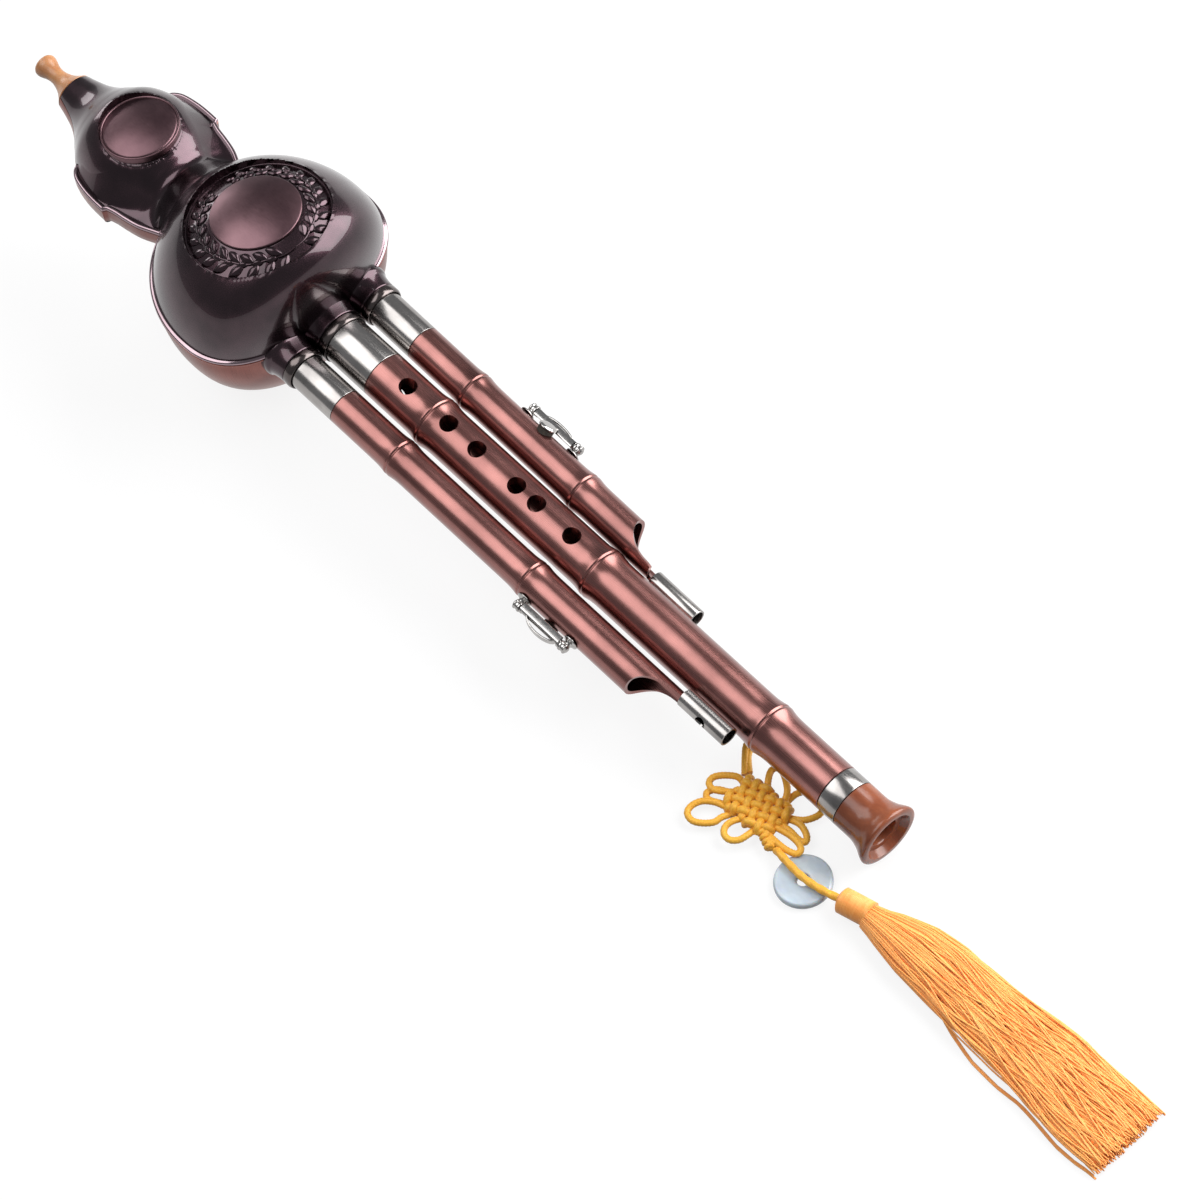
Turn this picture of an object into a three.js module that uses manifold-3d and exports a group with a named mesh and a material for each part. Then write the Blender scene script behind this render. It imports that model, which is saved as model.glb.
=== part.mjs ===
// A hulusi in antique copper finish: a two-lobed gourd wind chest with a mouthpiece at its neck, a melody
// pipe between two drones at its base, and a knotted cord charm with a stone disc and a tassel.
// Millimetres. Inside the instrument's own group +X runs along the melody pipe towards its bell from the
// end of the nickel sockets, +Z is the front with the medallions and +Y is the shorter drone's side.
// The outer group lays the instrument on a table, on the gourd's back and the rim of the bell.
import * as THREE from 'three';
import { mergeVertices } from 'three/addons/utils/BufferGeometryUtils.js';
import Module from 'manifold-3d';

const wasm = await Module();
wasm.setup();

// Clearances
const seatGap = 0.3;
const slideGap = 0.3;
const cutOver = 2;
const flatGap = 0.15;

// Facets round a full turn
const bodySides = 40;
const pipeSides = 24;
const smallSides = 16;
const tinySides = 8;
const cordSides = 8;

// Melody pipe
const mainRadius = 9;
const mainBoreRadius = 5.4;
const mainTenonRadius = 7.7;
const mainSwell = 0.8;
const nodeLength = 5;
const mainNodePlaces = [27, 110.5, 193];
const holeDiameter = 6.7;
const holePlaces = [13.8, 34.7, 49, 69.1, 79.1, 96.7];
const thumbHolePlace = 6;
const cordHolePlace = 186.5;
const cordHoleDiameter = 3.2;
const cordHoleOffset = 3.6;
const tenonLength = 26;

// Bell and its band
const bandPlace = 224.4;
const bandLength = 8;
const bandWall = 0.9;
const bellLength = 17;
const bellRimRadius = 12;
const bellRimInset = 1.2;
const bellBoreRadius = 5.2;
const bellTenonRadius = 6.4;
const bellTenonLength = 5;
const bellMouthRadius = 7.9;
const bellMouthDepth = 2.6;
const bellLipRadius = 9.2;

// Drones
const droneRadius = 6.8;
const droneBoreRadius = 5.5;
const droneTenonRadius = 5.9;
const droneTenonBoreRadius = 4.9;
const droneSwell = 0.6;
const droneSpacing = 18;
const rightDroneSlope = -0.01;
const tongueWidth = 4.8;
const tongueLip = 0.2;
const scoopLength = 17;
const tailRadius = 3.6;
const tailWall = 0.6;
const tailLength = 21;
const tailOverlap = 4;
const tailReach = 6.15;
const tailHoleDiameter = 3.4;
const tailHolePlace = 12;

// Reed tubes inside the gourd
const reedTubeLength = 44;
const reedTubeInset = 14;
const reedWall = 0.7;
const reedWidth = 3.2;
const reedThickness = 0.5;
const reedLength = 20;
const reedSlotWidth = 2;

// Sockets at the gourd's base
const socketLength = 19;
const socketWall = 0.75;
const collarGap = 1;
const collarLength = 3.6;
const mainCollarRise = 0.8;
const droneCollarRise = 1.1;
const plateRise = 1.9;
const plateLength = 16;

// Gourd
const lobeRadius = 42.4;
const lobePlace = -57.5;
const baseReach = 28.4;
const lobeStart = 30;
const basePower = 2.5;
const frontBasePower = 1;
const frontLean = 0.13;
const upperRadius = 23.5;
const upperLength = 62;
const neckPlace = -166;
const gourdWall = 2.2;
const seamHeight = 4;
const rimRise = 0.9;
const rimFrontHeight = 1.1;
const rimBackHeight = 1.6;
const rimBevel = 0.7;
const earPlace = -139.5;
const earLength = 44;
const earReach = 27;
const earWallHeight = 9;
const restFlatDepth = 0.5;

// Mouthpiece
const mouthpieceLength = 18;
const mouthpieceTipRadius = 4.4;
const mouthpieceWaistRadius = 3;
const mouthpieceBaseRadius = 7.4;
const mouthpieceBoreRadius = 1.8;
const mouthpieceTenonLength = 14;
const mouthpieceTenonRadius = 3.9;
const corkWall = 0.9;
const corkLength = 9;

// Medallions
const upperMedal = { radius: 14.5, place: -126.5, height: 19.4, tilt: 8 };
const lowerMedal = { radius: 26.5, place: -60.2, height: 31, tilt: 10 };
const medalThickness = 2;
const upperMedalDome = 2.6;
const lowerMedalDome = 8;
const medalRimWidth = 0.9;
const bandDepth = 1;
const bossRadius = 16.4;
const bossRise = 0.7;

// Drone keys
const keySpan = 23;
const keyHeight = 10;
const leftKeyPlace = 111;
const rightKeyPlace = 58;
const postFootRadius = 3;
const postFootHeight = 1;
const postRadius = 1.3;
const postHeadRadius = 1.9;
const postHeadLength = 3.2;
const pinRadius = 0.6;
const keyTubeRadius = 1.5;
const strapWidth = 3.6;
const strapBow = 4.3;
const strapThickness = 1.1;
const strapSpan = 19;
const padAngle = 40;
const padRadius = 3;
const padThickness = 1.2;
const padHoleDiameter = 4;
const cupRadius = 3.4;
const cupThickness = 1;
const keyArmWidth = 4;

// Charm
const cordDiameter = 2;
const discRadius = 10;
const discHoleRadius = 2.1;
const discThickness = 3;
const tasselHeadRadius = 4.4;

// Derived places along the instrument
const bellStart = bandPlace + bandLength;
const bellEnd = bellStart + bellLength;
const collarEnd = -socketLength - collarGap;
const plateFace = collarEnd - collarLength;
const plateBack = plateFace - plateLength;
const restHeight = lobeRadius - restFlatDepth;
const rimPlace = bellEnd - bellRimInset;

// The gourd's back and the bell's rim touch the table together, which sets the tilt
const reach = rimPlace - lobePlace;
const tilt = Math.asin(restHeight / Math.hypot(reach, bellRimRadius)) - Math.atan2(bellRimRadius, reach);
const laid = new THREE.Matrix4().makeRotationY(tilt).setPosition(
  -lobePlace * Math.cos(tilt),
  0,
  restHeight + lobePlace * Math.sin(tilt),
);

function solidOf(geometry) {
  const bare = geometry.clone();
  bare.deleteAttribute('normal');
  bare.deleteAttribute('uv');
  const merged = mergeVertices(bare);
  return new wasm.Manifold(new wasm.Mesh({
    numProp: 3,
    vertProperties: new Float32Array(merged.attributes.position.array),
    triVerts: new Uint32Array(merged.index.array),
  }));
}

function geometryOf(solid) {
  const mesh = solid.getMesh();
  const geometry = new THREE.BufferGeometry();
  geometry.setAttribute('position', new THREE.BufferAttribute(new Float32Array(mesh.vertProperties), 3));
  geometry.setIndex(new THREE.BufferAttribute(new Uint32Array(mesh.triVerts), 1));
  return geometry;
}

// Turns a closed outline of [place along X, radius] points about the X axis.
function revolve(outline, sides) {
  let area = 0;
  outline.forEach(([x, r], k) => {
    const [nextX, nextR] = outline[(k + 1) % outline.length];
    area += x * nextR - nextX * r;
  });
  const ordered = area < 0 ? outline.slice() : outline.slice().reverse();
  const closesOnAxis = outline.some(([, r]) => r === 0);
  const points = ordered.map(([x, r]) => new THREE.Vector2(r, x));
  if (closesOnAxis) {
    while (!(points[0].x === 0 && points[points.length - 1].x === 0)) points.push(points.shift());
  } else {
    points.push(points[0].clone());
  }
  return new THREE.LatheGeometry(points, sides).rotateZ(-Math.PI / 2);
}

const rod = (from, to, radius, sides) => revolve([[from, 0], [from, radius], [to, radius], [to, 0]], sides);

const tube = (from, to, radius, bore, sides) => revolve(
  [[from, bore], [from, radius], [to, radius], [to, bore]],
  sides,
);

const standing = (geometry) => geometry.rotateY(-Math.PI / 2);

const block = (x0, x1, y0, y1, z0, z1) => new THREE.BoxGeometry(x1 - x0, y1 - y0, z1 - z0)
  .translate((x0 + x1) / 2, (y0 + y1) / 2, (z0 + z1) / 2);

function add(name, geometry, finish, group) {
  const mesh = new THREE.Mesh(geometry, finish);
  mesh.name = name;
  group.add(mesh);
  return mesh;
}

const finishes = {
  frontCopper: new THREE.MeshStandardMaterial({ color: 0x3a242c, roughness: 0.18, metalness: 0.9 }),
  backCopper: new THREE.MeshStandardMaterial({ color: 0x8a5550, roughness: 0.3, metalness: 0.9 }),
  pipeCopper: new THREE.MeshStandardMaterial({ color: 0x9a5f5a, roughness: 0.32, metalness: 0.9 }),
  nickel: new THREE.MeshStandardMaterial({ color: 0xb8b4b0, roughness: 0.28, metalness: 1 }),
  keyNickel: new THREE.MeshStandardMaterial({ color: 0xd2d0cc, roughness: 0.15, metalness: 1 }),
  amber: new THREE.MeshStandardMaterial({ color: 0xc98f5a, roughness: 0.35, metalness: 0 }),
  resin: new THREE.MeshStandardMaterial({ color: 0x8c4a2e, roughness: 0.25, metalness: 0 }),
  brass: new THREE.MeshStandardMaterial({ color: 0xb08d45, roughness: 0.3, metalness: 1 }),
  cork: new THREE.MeshStandardMaterial({ color: 0xb98c5c, roughness: 0.9, metalness: 0 }),
  pad: new THREE.MeshStandardMaterial({ color: 0xe4ddd0, roughness: 0.9, metalness: 0 }),
  cord: new THREE.MeshStandardMaterial({ color: 0xf5a828, roughness: 0.6, metalness: 0 }),
  silk: new THREE.MeshStandardMaterial({ color: 0xff9f3c, roughness: 0.6, metalness: 0 }),
  jade: new THREE.MeshStandardMaterial({ color: 0xb0bec8, roughness: 0.25, metalness: 0 }),
};

const instrument = new THREE.Group();
instrument.applyMatrix4(laid);

// Gourd outline, mouth end first: the upper part in shares of its length and of the upper lobe's radius
const upperShares = [
  [0, 0.32], [0.08, 0.375], [0.16, 0.445], [0.24, 0.56], [0.32, 0.72], [0.42, 0.9], [0.565, 1],
  [0.7, 0.955], [0.82, 0.85], [0.92, 0.715], [1, 0.665],
];
const upperSteps = 14;
const lobeSteps = 12;

function gourdOutline(inset) {
  const startAngle = THREE.MathUtils.degToRad(lobeStart);
  const onLobe = (angle) => new THREE.Vector2(
    lobePlace - (lobeRadius - inset) * Math.cos(angle),
    (lobeRadius - inset) * Math.sin(angle),
  );
  const upper = upperShares.map(([along, out]) => new THREE.Vector2(
    neckPlace + along * upperLength,
    out * upperRadius - inset,
  ));
  const outline = new THREE.SplineCurve([...upper, onLobe(startAngle)]).getPoints(upperSteps);
  for (let k = 1; k <= lobeSteps; k += 1) {
    outline.push(onLobe(startAngle + (Math.PI - startAngle) * (k / lobeSteps)));
  }
  outline[outline.length - 1].y = 0;
  return outline;
}

// The lobe is a ball whose base side is pressed flatter, less so in front, and whose front leans to the bell
function gourdSolid(inset, sides) {
  const outline = gourdOutline(inset).map((p) => [p.x, p.y]);
  const start = inset > 0 ? neckPlace + mouthpieceTenonLength : neckPlace;
  const kept = outline.filter(([x]) => x >= start);
  kept[0][0] = start;
  const geometry = revolve([[start, 0], ...kept], sides);
  const place = geometry.attributes.position;
  const radius = lobeRadius - inset;
  for (let k = 0; k < place.count; k += 1) {
    const p = new THREE.Vector3().fromBufferAttribute(place, k);
    const out = Math.hypot(p.y, p.z);
    if (p.x > lobePlace) {
      const front = out > 0 ? Math.max(p.z, 0) / out : 0;
      const power = 2 / (basePower + frontBasePower * front * front);
      const angle = Math.atan2(out, p.x - lobePlace);
      p.x = lobePlace + (baseReach - inset) * Math.abs(Math.cos(angle)) ** power;
      const wider = out > 0 ? (radius * Math.sin(angle) ** power) / out : 0;
      p.y *= wider;
      p.z *= wider;
    }
    const onLobe = THREE.MathUtils.smoothstep(p.x, lobePlace - lobeRadius, lobePlace);
    p.x += frontLean * Math.max(p.z - seamHeight, 0) * onLobe;
    place.setXYZ(k, p.x, p.y, p.z);
  }
  return solidOf(geometry);
}

// Seam flange: the lobe's rim and the two cloud-shaped ears, in shares of the ears' length and reach
const earShares = [
  [0, 0.8], [0.03, 0.87], [0.1, 0.94], [0.23, 0.985], [0.35, 1], [0.477, 1], [0.495, 0.948],
  [0.57, 0.915], [0.665, 0.89], [0.8, 0.84], [0.93, 0.75], [1, 0.7],
];
const cuspIndex = 5;
const earCurveSteps = 1;

function earShape() {
  const upper = earShares.map(([along, out]) => new THREE.Vector2(
    earPlace + along * earLength,
    out * earReach,
  ));
  const lower = upper.map((p) => new THREE.Vector2(p.x, -p.y)).reverse();
  const turn = lower.length - cuspIndex;
  const shape = new THREE.Shape();
  shape.moveTo(upper[0].x, upper[0].y);
  shape.splineThru(upper.slice(1, cuspIndex + 1));
  shape.lineTo(upper[cuspIndex + 1].x, upper[cuspIndex + 1].y);
  shape.splineThru(upper.slice(cuspIndex + 2));
  shape.lineTo(lower[0].x, lower[0].y);
  shape.splineThru(lower.slice(1, turn - 1));
  shape.lineTo(lower[turn - 1].x, lower[turn - 1].y);
  shape.splineThru(lower.slice(turn));
  return shape;
}

function flange(shape, back, front, curveSegments) {
  const geometry = new THREE.ExtrudeGeometry(shape, {
    depth: back + front,
    bevelEnabled: true,
    bevelThickness: rimBevel,
    bevelSize: rimBevel,
    bevelOffset: -rimBevel,
    bevelSegments: 1,
    curveSegments,
  });
  return solidOf(geometry.translate(0, 0, seamHeight - back - rimBevel / 2));
}

const far = reach * 2;
const frontRoom = solidOf(block(-far, far, -far, far, seamHeight, far));
const backRoom = solidOf(block(-far, far, -far, far, -far, seamHeight - seatGap));

// The rim follows the lobe's own outline at the seam
const rimSteps = 36;

function rimShape(rise) {
  const points = [];
  const power = 2 / basePower;
  const grow = 1 + rise / lobeRadius;
  for (let k = 0; k < rimSteps; k += 1) {
    const angle = (2 * Math.PI * k) / rimSteps;
    const cosine = Math.cos(angle);
    const sine = Math.abs(Math.sin(angle));
    const along = cosine > 0 ? baseReach * cosine ** power : lobeRadius * cosine;
    const across = cosine > 0 ? lobeRadius * sine ** power : lobeRadius * sine;
    points.push(new THREE.Vector2(lobePlace + along * grow, Math.sign(Math.sin(angle)) * across * grow));
  }
  return new THREE.Shape(points);
}

const lobeRim = flange(rimShape(rimRise), rimBackHeight, rimFrontHeight, 1);
const lobeRimRoom = flange(rimShape(rimRise + seatGap), rimBackHeight + seatGap, rimFrontHeight + seatGap, 1);
const ears = flange(earShape(), earWallHeight, rimFrontHeight, earCurveSteps);

const pipePlaces = {
  main: new THREE.Matrix4(),
  left: new THREE.Matrix4().makeTranslation(0, -droneSpacing, 0),
  right: new THREE.Matrix4().makeRotationZ(rightDroneSlope).setPosition(0, droneSpacing, 0),
};
const pipeRadii = { main: mainRadius, left: droneRadius, right: droneRadius };
const pipeNames = Object.keys(pipePlaces);

// Each medallion lies on its own tilted plane, with +X of its outline pointing out of the gourd
function medalPlace({ place, height, tilt: lean }) {
  return new THREE.Matrix4()
    .makeRotationY(-Math.PI / 2 - THREE.MathUtils.degToRad(lean))
    .setPosition(place, 0, height);
}

const medals = [upperMedal, lowerMedal];
const medalSeat = (medal, deeper, wider) => solidOf(rod(
  -medalThickness - seatGap - deeper,
  lobeRadius,
  medal.radius + seatGap + wider,
  bodySides,
).applyMatrix4(medalPlace(medal)));

let cavity = gourdSolid(gourdWall, bodySides / 2);
medals.forEach((medal) => {
  cavity = cavity.subtract(medalSeat(medal, gourdWall, gourdWall));
});
const neckBore = solidOf(rod(
  neckPlace - cutOver,
  neckPlace + mouthpieceTenonLength + cutOver,
  mouthpieceTenonRadius + seatGap + corkWall + slideGap,
  smallSides,
));

let chest = gourdSolid(0, bodySides).add(lobeRim).add(ears).subtract(cavity).subtract(neckBore);
medals.forEach((medal) => {
  chest = chest.subtract(medalSeat(medal, 0, 0));
});
pipeNames.forEach((name) => {
  const hole = rod(plateBack, plateFace, pipeRadii[name] + seatGap, smallSides);
  chest = chest.subtract(solidOf(hole.applyMatrix4(pipePlaces[name])));
});
const restRoom = solidOf(block(-lobeRadius, lobeRadius, -lobeRadius, lobeRadius, -far, -restHeight)
  .applyMatrix4(new THREE.Matrix4().makeRotationY(-tilt).setPosition(lobePlace, 0, 0)));

add('gourd_front_shell', geometryOf(chest.intersect(frontRoom)), finishes.frontCopper, instrument);
add('gourd_back_shell', geometryOf(chest.intersect(backRoom).subtract(restRoom)), finishes.backCopper, instrument);

// Upper medallion: a gently domed disc with a raised rim
function domeOutline(radius, rise, steps, from) {
  const bend = (radius * radius + rise * rise) / (2 * rise);
  const points = [];
  for (let k = 0; k <= steps; k += 1) {
    const r = from * (1 - k / steps);
    points.push([Math.sqrt(bend * bend - r * r) - bend + rise, r]);
  }
  points[points.length - 1][1] = 0;
  return points;
}

const upperRimInner = upperMedal.radius - medalRimWidth;
add('upper_medallion', revolve([
  [-medalThickness, 0],
  [-medalThickness, upperMedal.radius],
  [medalRimWidth / 2, upperMedal.radius],
  [medalRimWidth / 2, upperRimInner],
  ...domeOutline(upperMedal.radius, upperMedalDome, 4, upperRimInner - medalRimWidth / 2),
], bodySides).applyMatrix4(medalPlace(upperMedal)), finishes.frontCopper, instrument);

// Lower medallion: a recessed band that follows the dome, and a raised boss in its middle
const lowerRimInner = lowerMedal.radius - medalRimWidth;
const bandPoints = domeOutline(lowerMedal.radius, lowerMedalDome, 8, lowerRimInner)
  .filter(([, r]) => r > bossRadius + seatGap)
  .map(([x, r]) => [x - bandDepth, r]);
const bossSeat = bandPoints[bandPoints.length - 1][0];
add('lower_medallion_plate', revolve([
  [-medalThickness, 0],
  [-medalThickness, lowerMedal.radius],
  [medalRimWidth / 2, lowerMedal.radius],
  [medalRimWidth / 2, lowerRimInner],
  ...bandPoints,
  [bossSeat, bossRadius + seatGap],
  [bossSeat, 0],
], bodySides).applyMatrix4(medalPlace(lowerMedal)), finishes.frontCopper, instrument);
const bossDome = domeOutline(lowerMedal.radius, lowerMedalDome, 5, bossRadius).map(([x, r]) => [x + bossRise, r]);
add('lower_medallion_boss', revolve([
  [bossSeat + seatGap, 0],
  [bossSeat + seatGap, bossRadius],
  ...bossDome,
], bodySides).applyMatrix4(medalPlace(lowerMedal)), finishes.frontCopper, instrument);

// Socket plate: three lobes that hug the gourd's base, then a collar and a socket round each pipe
let plate = null;
pipeNames.forEach((name) => {
  const lobe = solidOf(rod(plateBack, plateFace - flatGap, pipeRadii[name] + plateRise, smallSides)
    .applyMatrix4(pipePlaces[name]));
  plate = plate ? plate.add(lobe) : lobe;
});
plate = plate.subtract(gourdSolid(-seatGap, bodySides)).subtract(lobeRimRoom);
pipeNames.forEach((name) => {
  const hole = rod(plateBack - cutOver, 0, pipeRadii[name] + seatGap, smallSides);
  plate = plate.subtract(solidOf(hole.applyMatrix4(pipePlaces[name])));
});
add('socket_plate', geometryOf(plate), finishes.backCopper, instrument);

const socketEnd = lobePlace + baseReach - gourdWall * 2;
const collarRises = { main: mainCollarRise, left: droneCollarRise, right: droneCollarRise };
pipeNames.forEach((name) => {
  const radius = pipeRadii[name];
  const inner = radius + seatGap;
  const outer = radius + collarRises[name];
  const edge = collarLength / 4;
  const sides = name === 'main' ? pipeSides : smallSides;
  add(`${name}_socket`, tube(socketEnd, 0, radius, radius - socketWall + slideGap / 2, sides)
    .applyMatrix4(pipePlaces[name]), finishes.nickel, instrument);
  add(`${name}_collar`, revolve([
    [plateFace + flatGap, inner],
    [plateFace + flatGap, outer],
    [collarEnd - edge, outer],
    [collarEnd, (inner + outer) / 2],
    [collarEnd, inner],
  ], sides).applyMatrix4(pipePlaces[name]), finishes.nickel, instrument);
});

// Mouthpiece
const tipPlace = neckPlace - mouthpieceLength;
const mouthShares = [
  [0, 0.9], [0.05, 1], [0.14, 0.96], [0.3, 0.74], [0.45, 0.68], [0.6, 0.8], [0.75, 1.05], [0.88, 1.4],
];
add('mouthpiece', revolve([
  [tipPlace, mouthpieceBoreRadius],
  ...mouthShares.map(([along, out]) => [tipPlace + along * mouthpieceLength, out * mouthpieceTipRadius]),
  [neckPlace - seatGap - flatGap * 2, mouthpieceBaseRadius],
  [neckPlace - seatGap, mouthpieceBaseRadius],
  [neckPlace - seatGap, mouthpieceTenonRadius],
  [neckPlace + mouthpieceTenonLength - cutOver, mouthpieceTenonRadius],
  [neckPlace + mouthpieceTenonLength - cutOver, mouthpieceBoreRadius],
], smallSides), finishes.amber, instrument);
const corkInner = mouthpieceTenonRadius + seatGap;
add('mouthpiece_cork', tube(
  neckPlace + cutOver,
  neckPlace + cutOver + corkLength,
  corkInner + corkWall,
  corkInner,
  smallSides,
), finishes.cork, instrument);

// A bamboo node: two swells with a groove between, in shares of its half length and of its swell
const nodeShares = [[-1, 0], [-0.5, 0.35], [-0.12, 1], [0, 0.5], [0.12, 1], [0.5, 0.35], [1, 0]];

function nodePoints(places, radius, swell) {
  return places.flatMap((place) => nodeShares.map(([along, out]) => [
    place + along * nodeLength,
    radius + out * swell,
  ]));
}

const holeThrough = (place, diameter, sides) => standing(rod(0, mainRadius + cutOver, diameter / 2, sides))
  .translate(place, 0, 0);

// Melody pipe, its bell and its band
const mainStep = mainRadius - bandWall - seatGap;
let mainPipe = solidOf(revolve([
  [-tenonLength, mainBoreRadius],
  [-tenonLength, mainTenonRadius],
  [flatGap, mainTenonRadius],
  [flatGap, mainRadius],
  ...nodePoints(mainNodePlaces, mainRadius, mainSwell),
  [bandPlace, mainRadius],
  [bandPlace, mainStep],
  [bellStart - flatGap, mainStep],
  [bellStart - flatGap, bellTenonRadius + seatGap],
  [bellStart - bellTenonLength - seatGap, bellTenonRadius + seatGap],
  [bellStart - bellTenonLength - seatGap, mainBoreRadius],
], pipeSides));
holePlaces.forEach((place) => {
  mainPipe = mainPipe.subtract(solidOf(holeThrough(place, holeDiameter, smallSides)));
});
mainPipe = mainPipe.subtract(solidOf(holeThrough(0, holeDiameter, smallSides)
  .rotateX(Math.PI)
  .translate(thumbHolePlace, 0, 0)));
[-1, 1].forEach((side) => {
  mainPipe = mainPipe.subtract(solidOf(holeThrough(0, cordHoleDiameter, tinySides)
    .rotateX(Math.PI)
    .translate(cordHolePlace, side * cordHoleOffset, 0)));
});
add('main_pipe', geometryOf(mainPipe), finishes.pipeCopper, instrument);
add('bell_band', tube(
  bandPlace + flatGap,
  bellStart - flatGap,
  mainRadius,
  mainRadius - bandWall,
  pipeSides,
), finishes.nickel, instrument);

const bellShares = [[0.4, 0], [0.55, 0.12], [0.7, 0.4], [0.82, 0.75], [0.9, 0.96], [0.95, 1], [0.985, 0.9]];
add('bell', revolve([
  [bellStart - bellTenonLength, bellBoreRadius],
  [bellStart - bellTenonLength, bellTenonRadius],
  [bellStart + flatGap, bellTenonRadius],
  [bellStart + flatGap, mainRadius],
  ...bellShares.map(([along, out]) => [
    bellStart + along * bellLength,
    mainRadius + out * (bellRimRadius - mainRadius),
  ]),
  [bellEnd, bellRimRadius - bellRimInset],
  [bellEnd, bellLipRadius],
  [bellEnd - bellMouthDepth, bellMouthRadius],
  [bellEnd - bellMouthDepth, bellBoreRadius],
], pipeSides), finishes.resin, instrument);

// Drones: each ends in a scooped mouth whose last strip of wall carries a tuning tube
const drones = {
  left: { nodes: [29, 96], mouth: 148.7, tail: 166.2, turn: 38.5, key: leftKeyPlace, out: 1 },
  right: { nodes: [27.3, 83.1], mouth: 106.5, tail: 123, turn: 225, key: rightKeyPlace, out: -1 },
};

function dronePipe(name) {
  const { nodes, mouth, tail, turn, key, out } = drones[name];
  const end = tail + tailOverlap;
  const step = flatGap * 2 * tailOverlap;
  let pipe = solidOf(revolve([
    [-tenonLength, droneTenonBoreRadius],
    [-tenonLength, droneTenonRadius],
    [flatGap, droneTenonRadius],
    [flatGap, droneRadius],
    ...nodePoints(nodes, droneRadius, droneSwell),
    [end, droneRadius],
    [end, droneBoreRadius],
    [step * 2, droneBoreRadius],
    [step, droneTenonBoreRadius],
  ], smallSides));
  const turned = new THREE.Matrix4().makeRotationX(THREE.MathUtils.degToRad(turn));
  const scoop = new THREE.Shape();
  const lip = droneBoreRadius - tongueLip;
  scoop.moveTo(mouth, -droneRadius);
  scoop.absellipse(mouth + scoopLength, -droneRadius, scoopLength, droneRadius + lip, Math.PI, Math.PI / 2, true);
  scoop.lineTo(end + cutOver, lip);
  scoop.lineTo(end + cutOver, -droneRadius - cutOver);
  scoop.lineTo(mouth, -droneRadius - cutOver);
  const width = droneRadius + cutOver;
  const cut = new THREE.ExtrudeGeometry(scoop, { depth: width * 2, bevelEnabled: false, curveSegments: 7 })
    .translate(0, 0, -width)
    .applyMatrix4(turned);
  pipe = pipe.subtract(solidOf(cut));
  [-1, 1].forEach((side) => {
    const strip = side > 0 ? [tongueWidth / 2, width] : [-width, -tongueWidth / 2];
    const trim = block(tail - cutOver / 2, end + cutOver, 0, width, ...strip).applyMatrix4(turned);
    pipe = pipe.subtract(solidOf(trim));
  });
  const padHole = standing(rod(0, droneRadius + cutOver, padHoleDiameter / 2, tinySides))
    .rotateX(THREE.MathUtils.degToRad(padAngle))
    .translate(key, 0, 0)
    .applyMatrix4(keyTurn(out));
  return pipe.subtract(solidOf(padHole));
}

// The drone's outer surface near its key, grown by a gap, with places measured from the key's middle
function droneOutside(nodes, gap) {
  const half = keySpan + nodeLength;
  return revolve([
    [-half, 0],
    [-half, droneRadius + gap],
    ...nodePoints(nodes, droneRadius + gap, droneSwell).filter(([x]) => Math.abs(x) < half),
    [half, droneRadius + gap],
    [half, 0],
  ], smallSides);
}

// Key parts are drawn with the drone's outer side up and are then turned to that side
const keyTurn = (out) => new THREE.Matrix4().makeRotationX((out * Math.PI) / 2);

function keyPost(side, nodes) {
  const column = solidOf(standing(rod(droneBoreRadius + droneSwell, keyHeight, postRadius, tinySides)));
  const foot = solidOf(standing(rod(
    droneBoreRadius,
    droneRadius + postFootHeight,
    postFootRadius,
    smallSides,
  )));
  const head = solidOf(revolve([
    [-postHeadLength / 2, 0],
    [-postHeadLength / 2, postHeadRadius],
    [postHeadLength / 4, postHeadRadius],
    [postHeadLength / 2, postHeadRadius / 2],
    [postHeadLength / 2, 0],
  ], tinySides).scale(side, side, 1).translate(0, 0, keyHeight));
  const bore = solidOf(rod(-postHeadLength, postHeadLength / 4, pinRadius + seatGap, tinySides)
    .scale(side, side, 1)
    .translate(0, 0, keyHeight));
  const under = solidOf(droneOutside(nodes, seatGap).translate((-side * keySpan) / 2, 0, 0));
  return column.add(foot).add(head).subtract(under).subtract(bore)
    .translate((side * keySpan) / 2, 0, 0);
}

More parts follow.
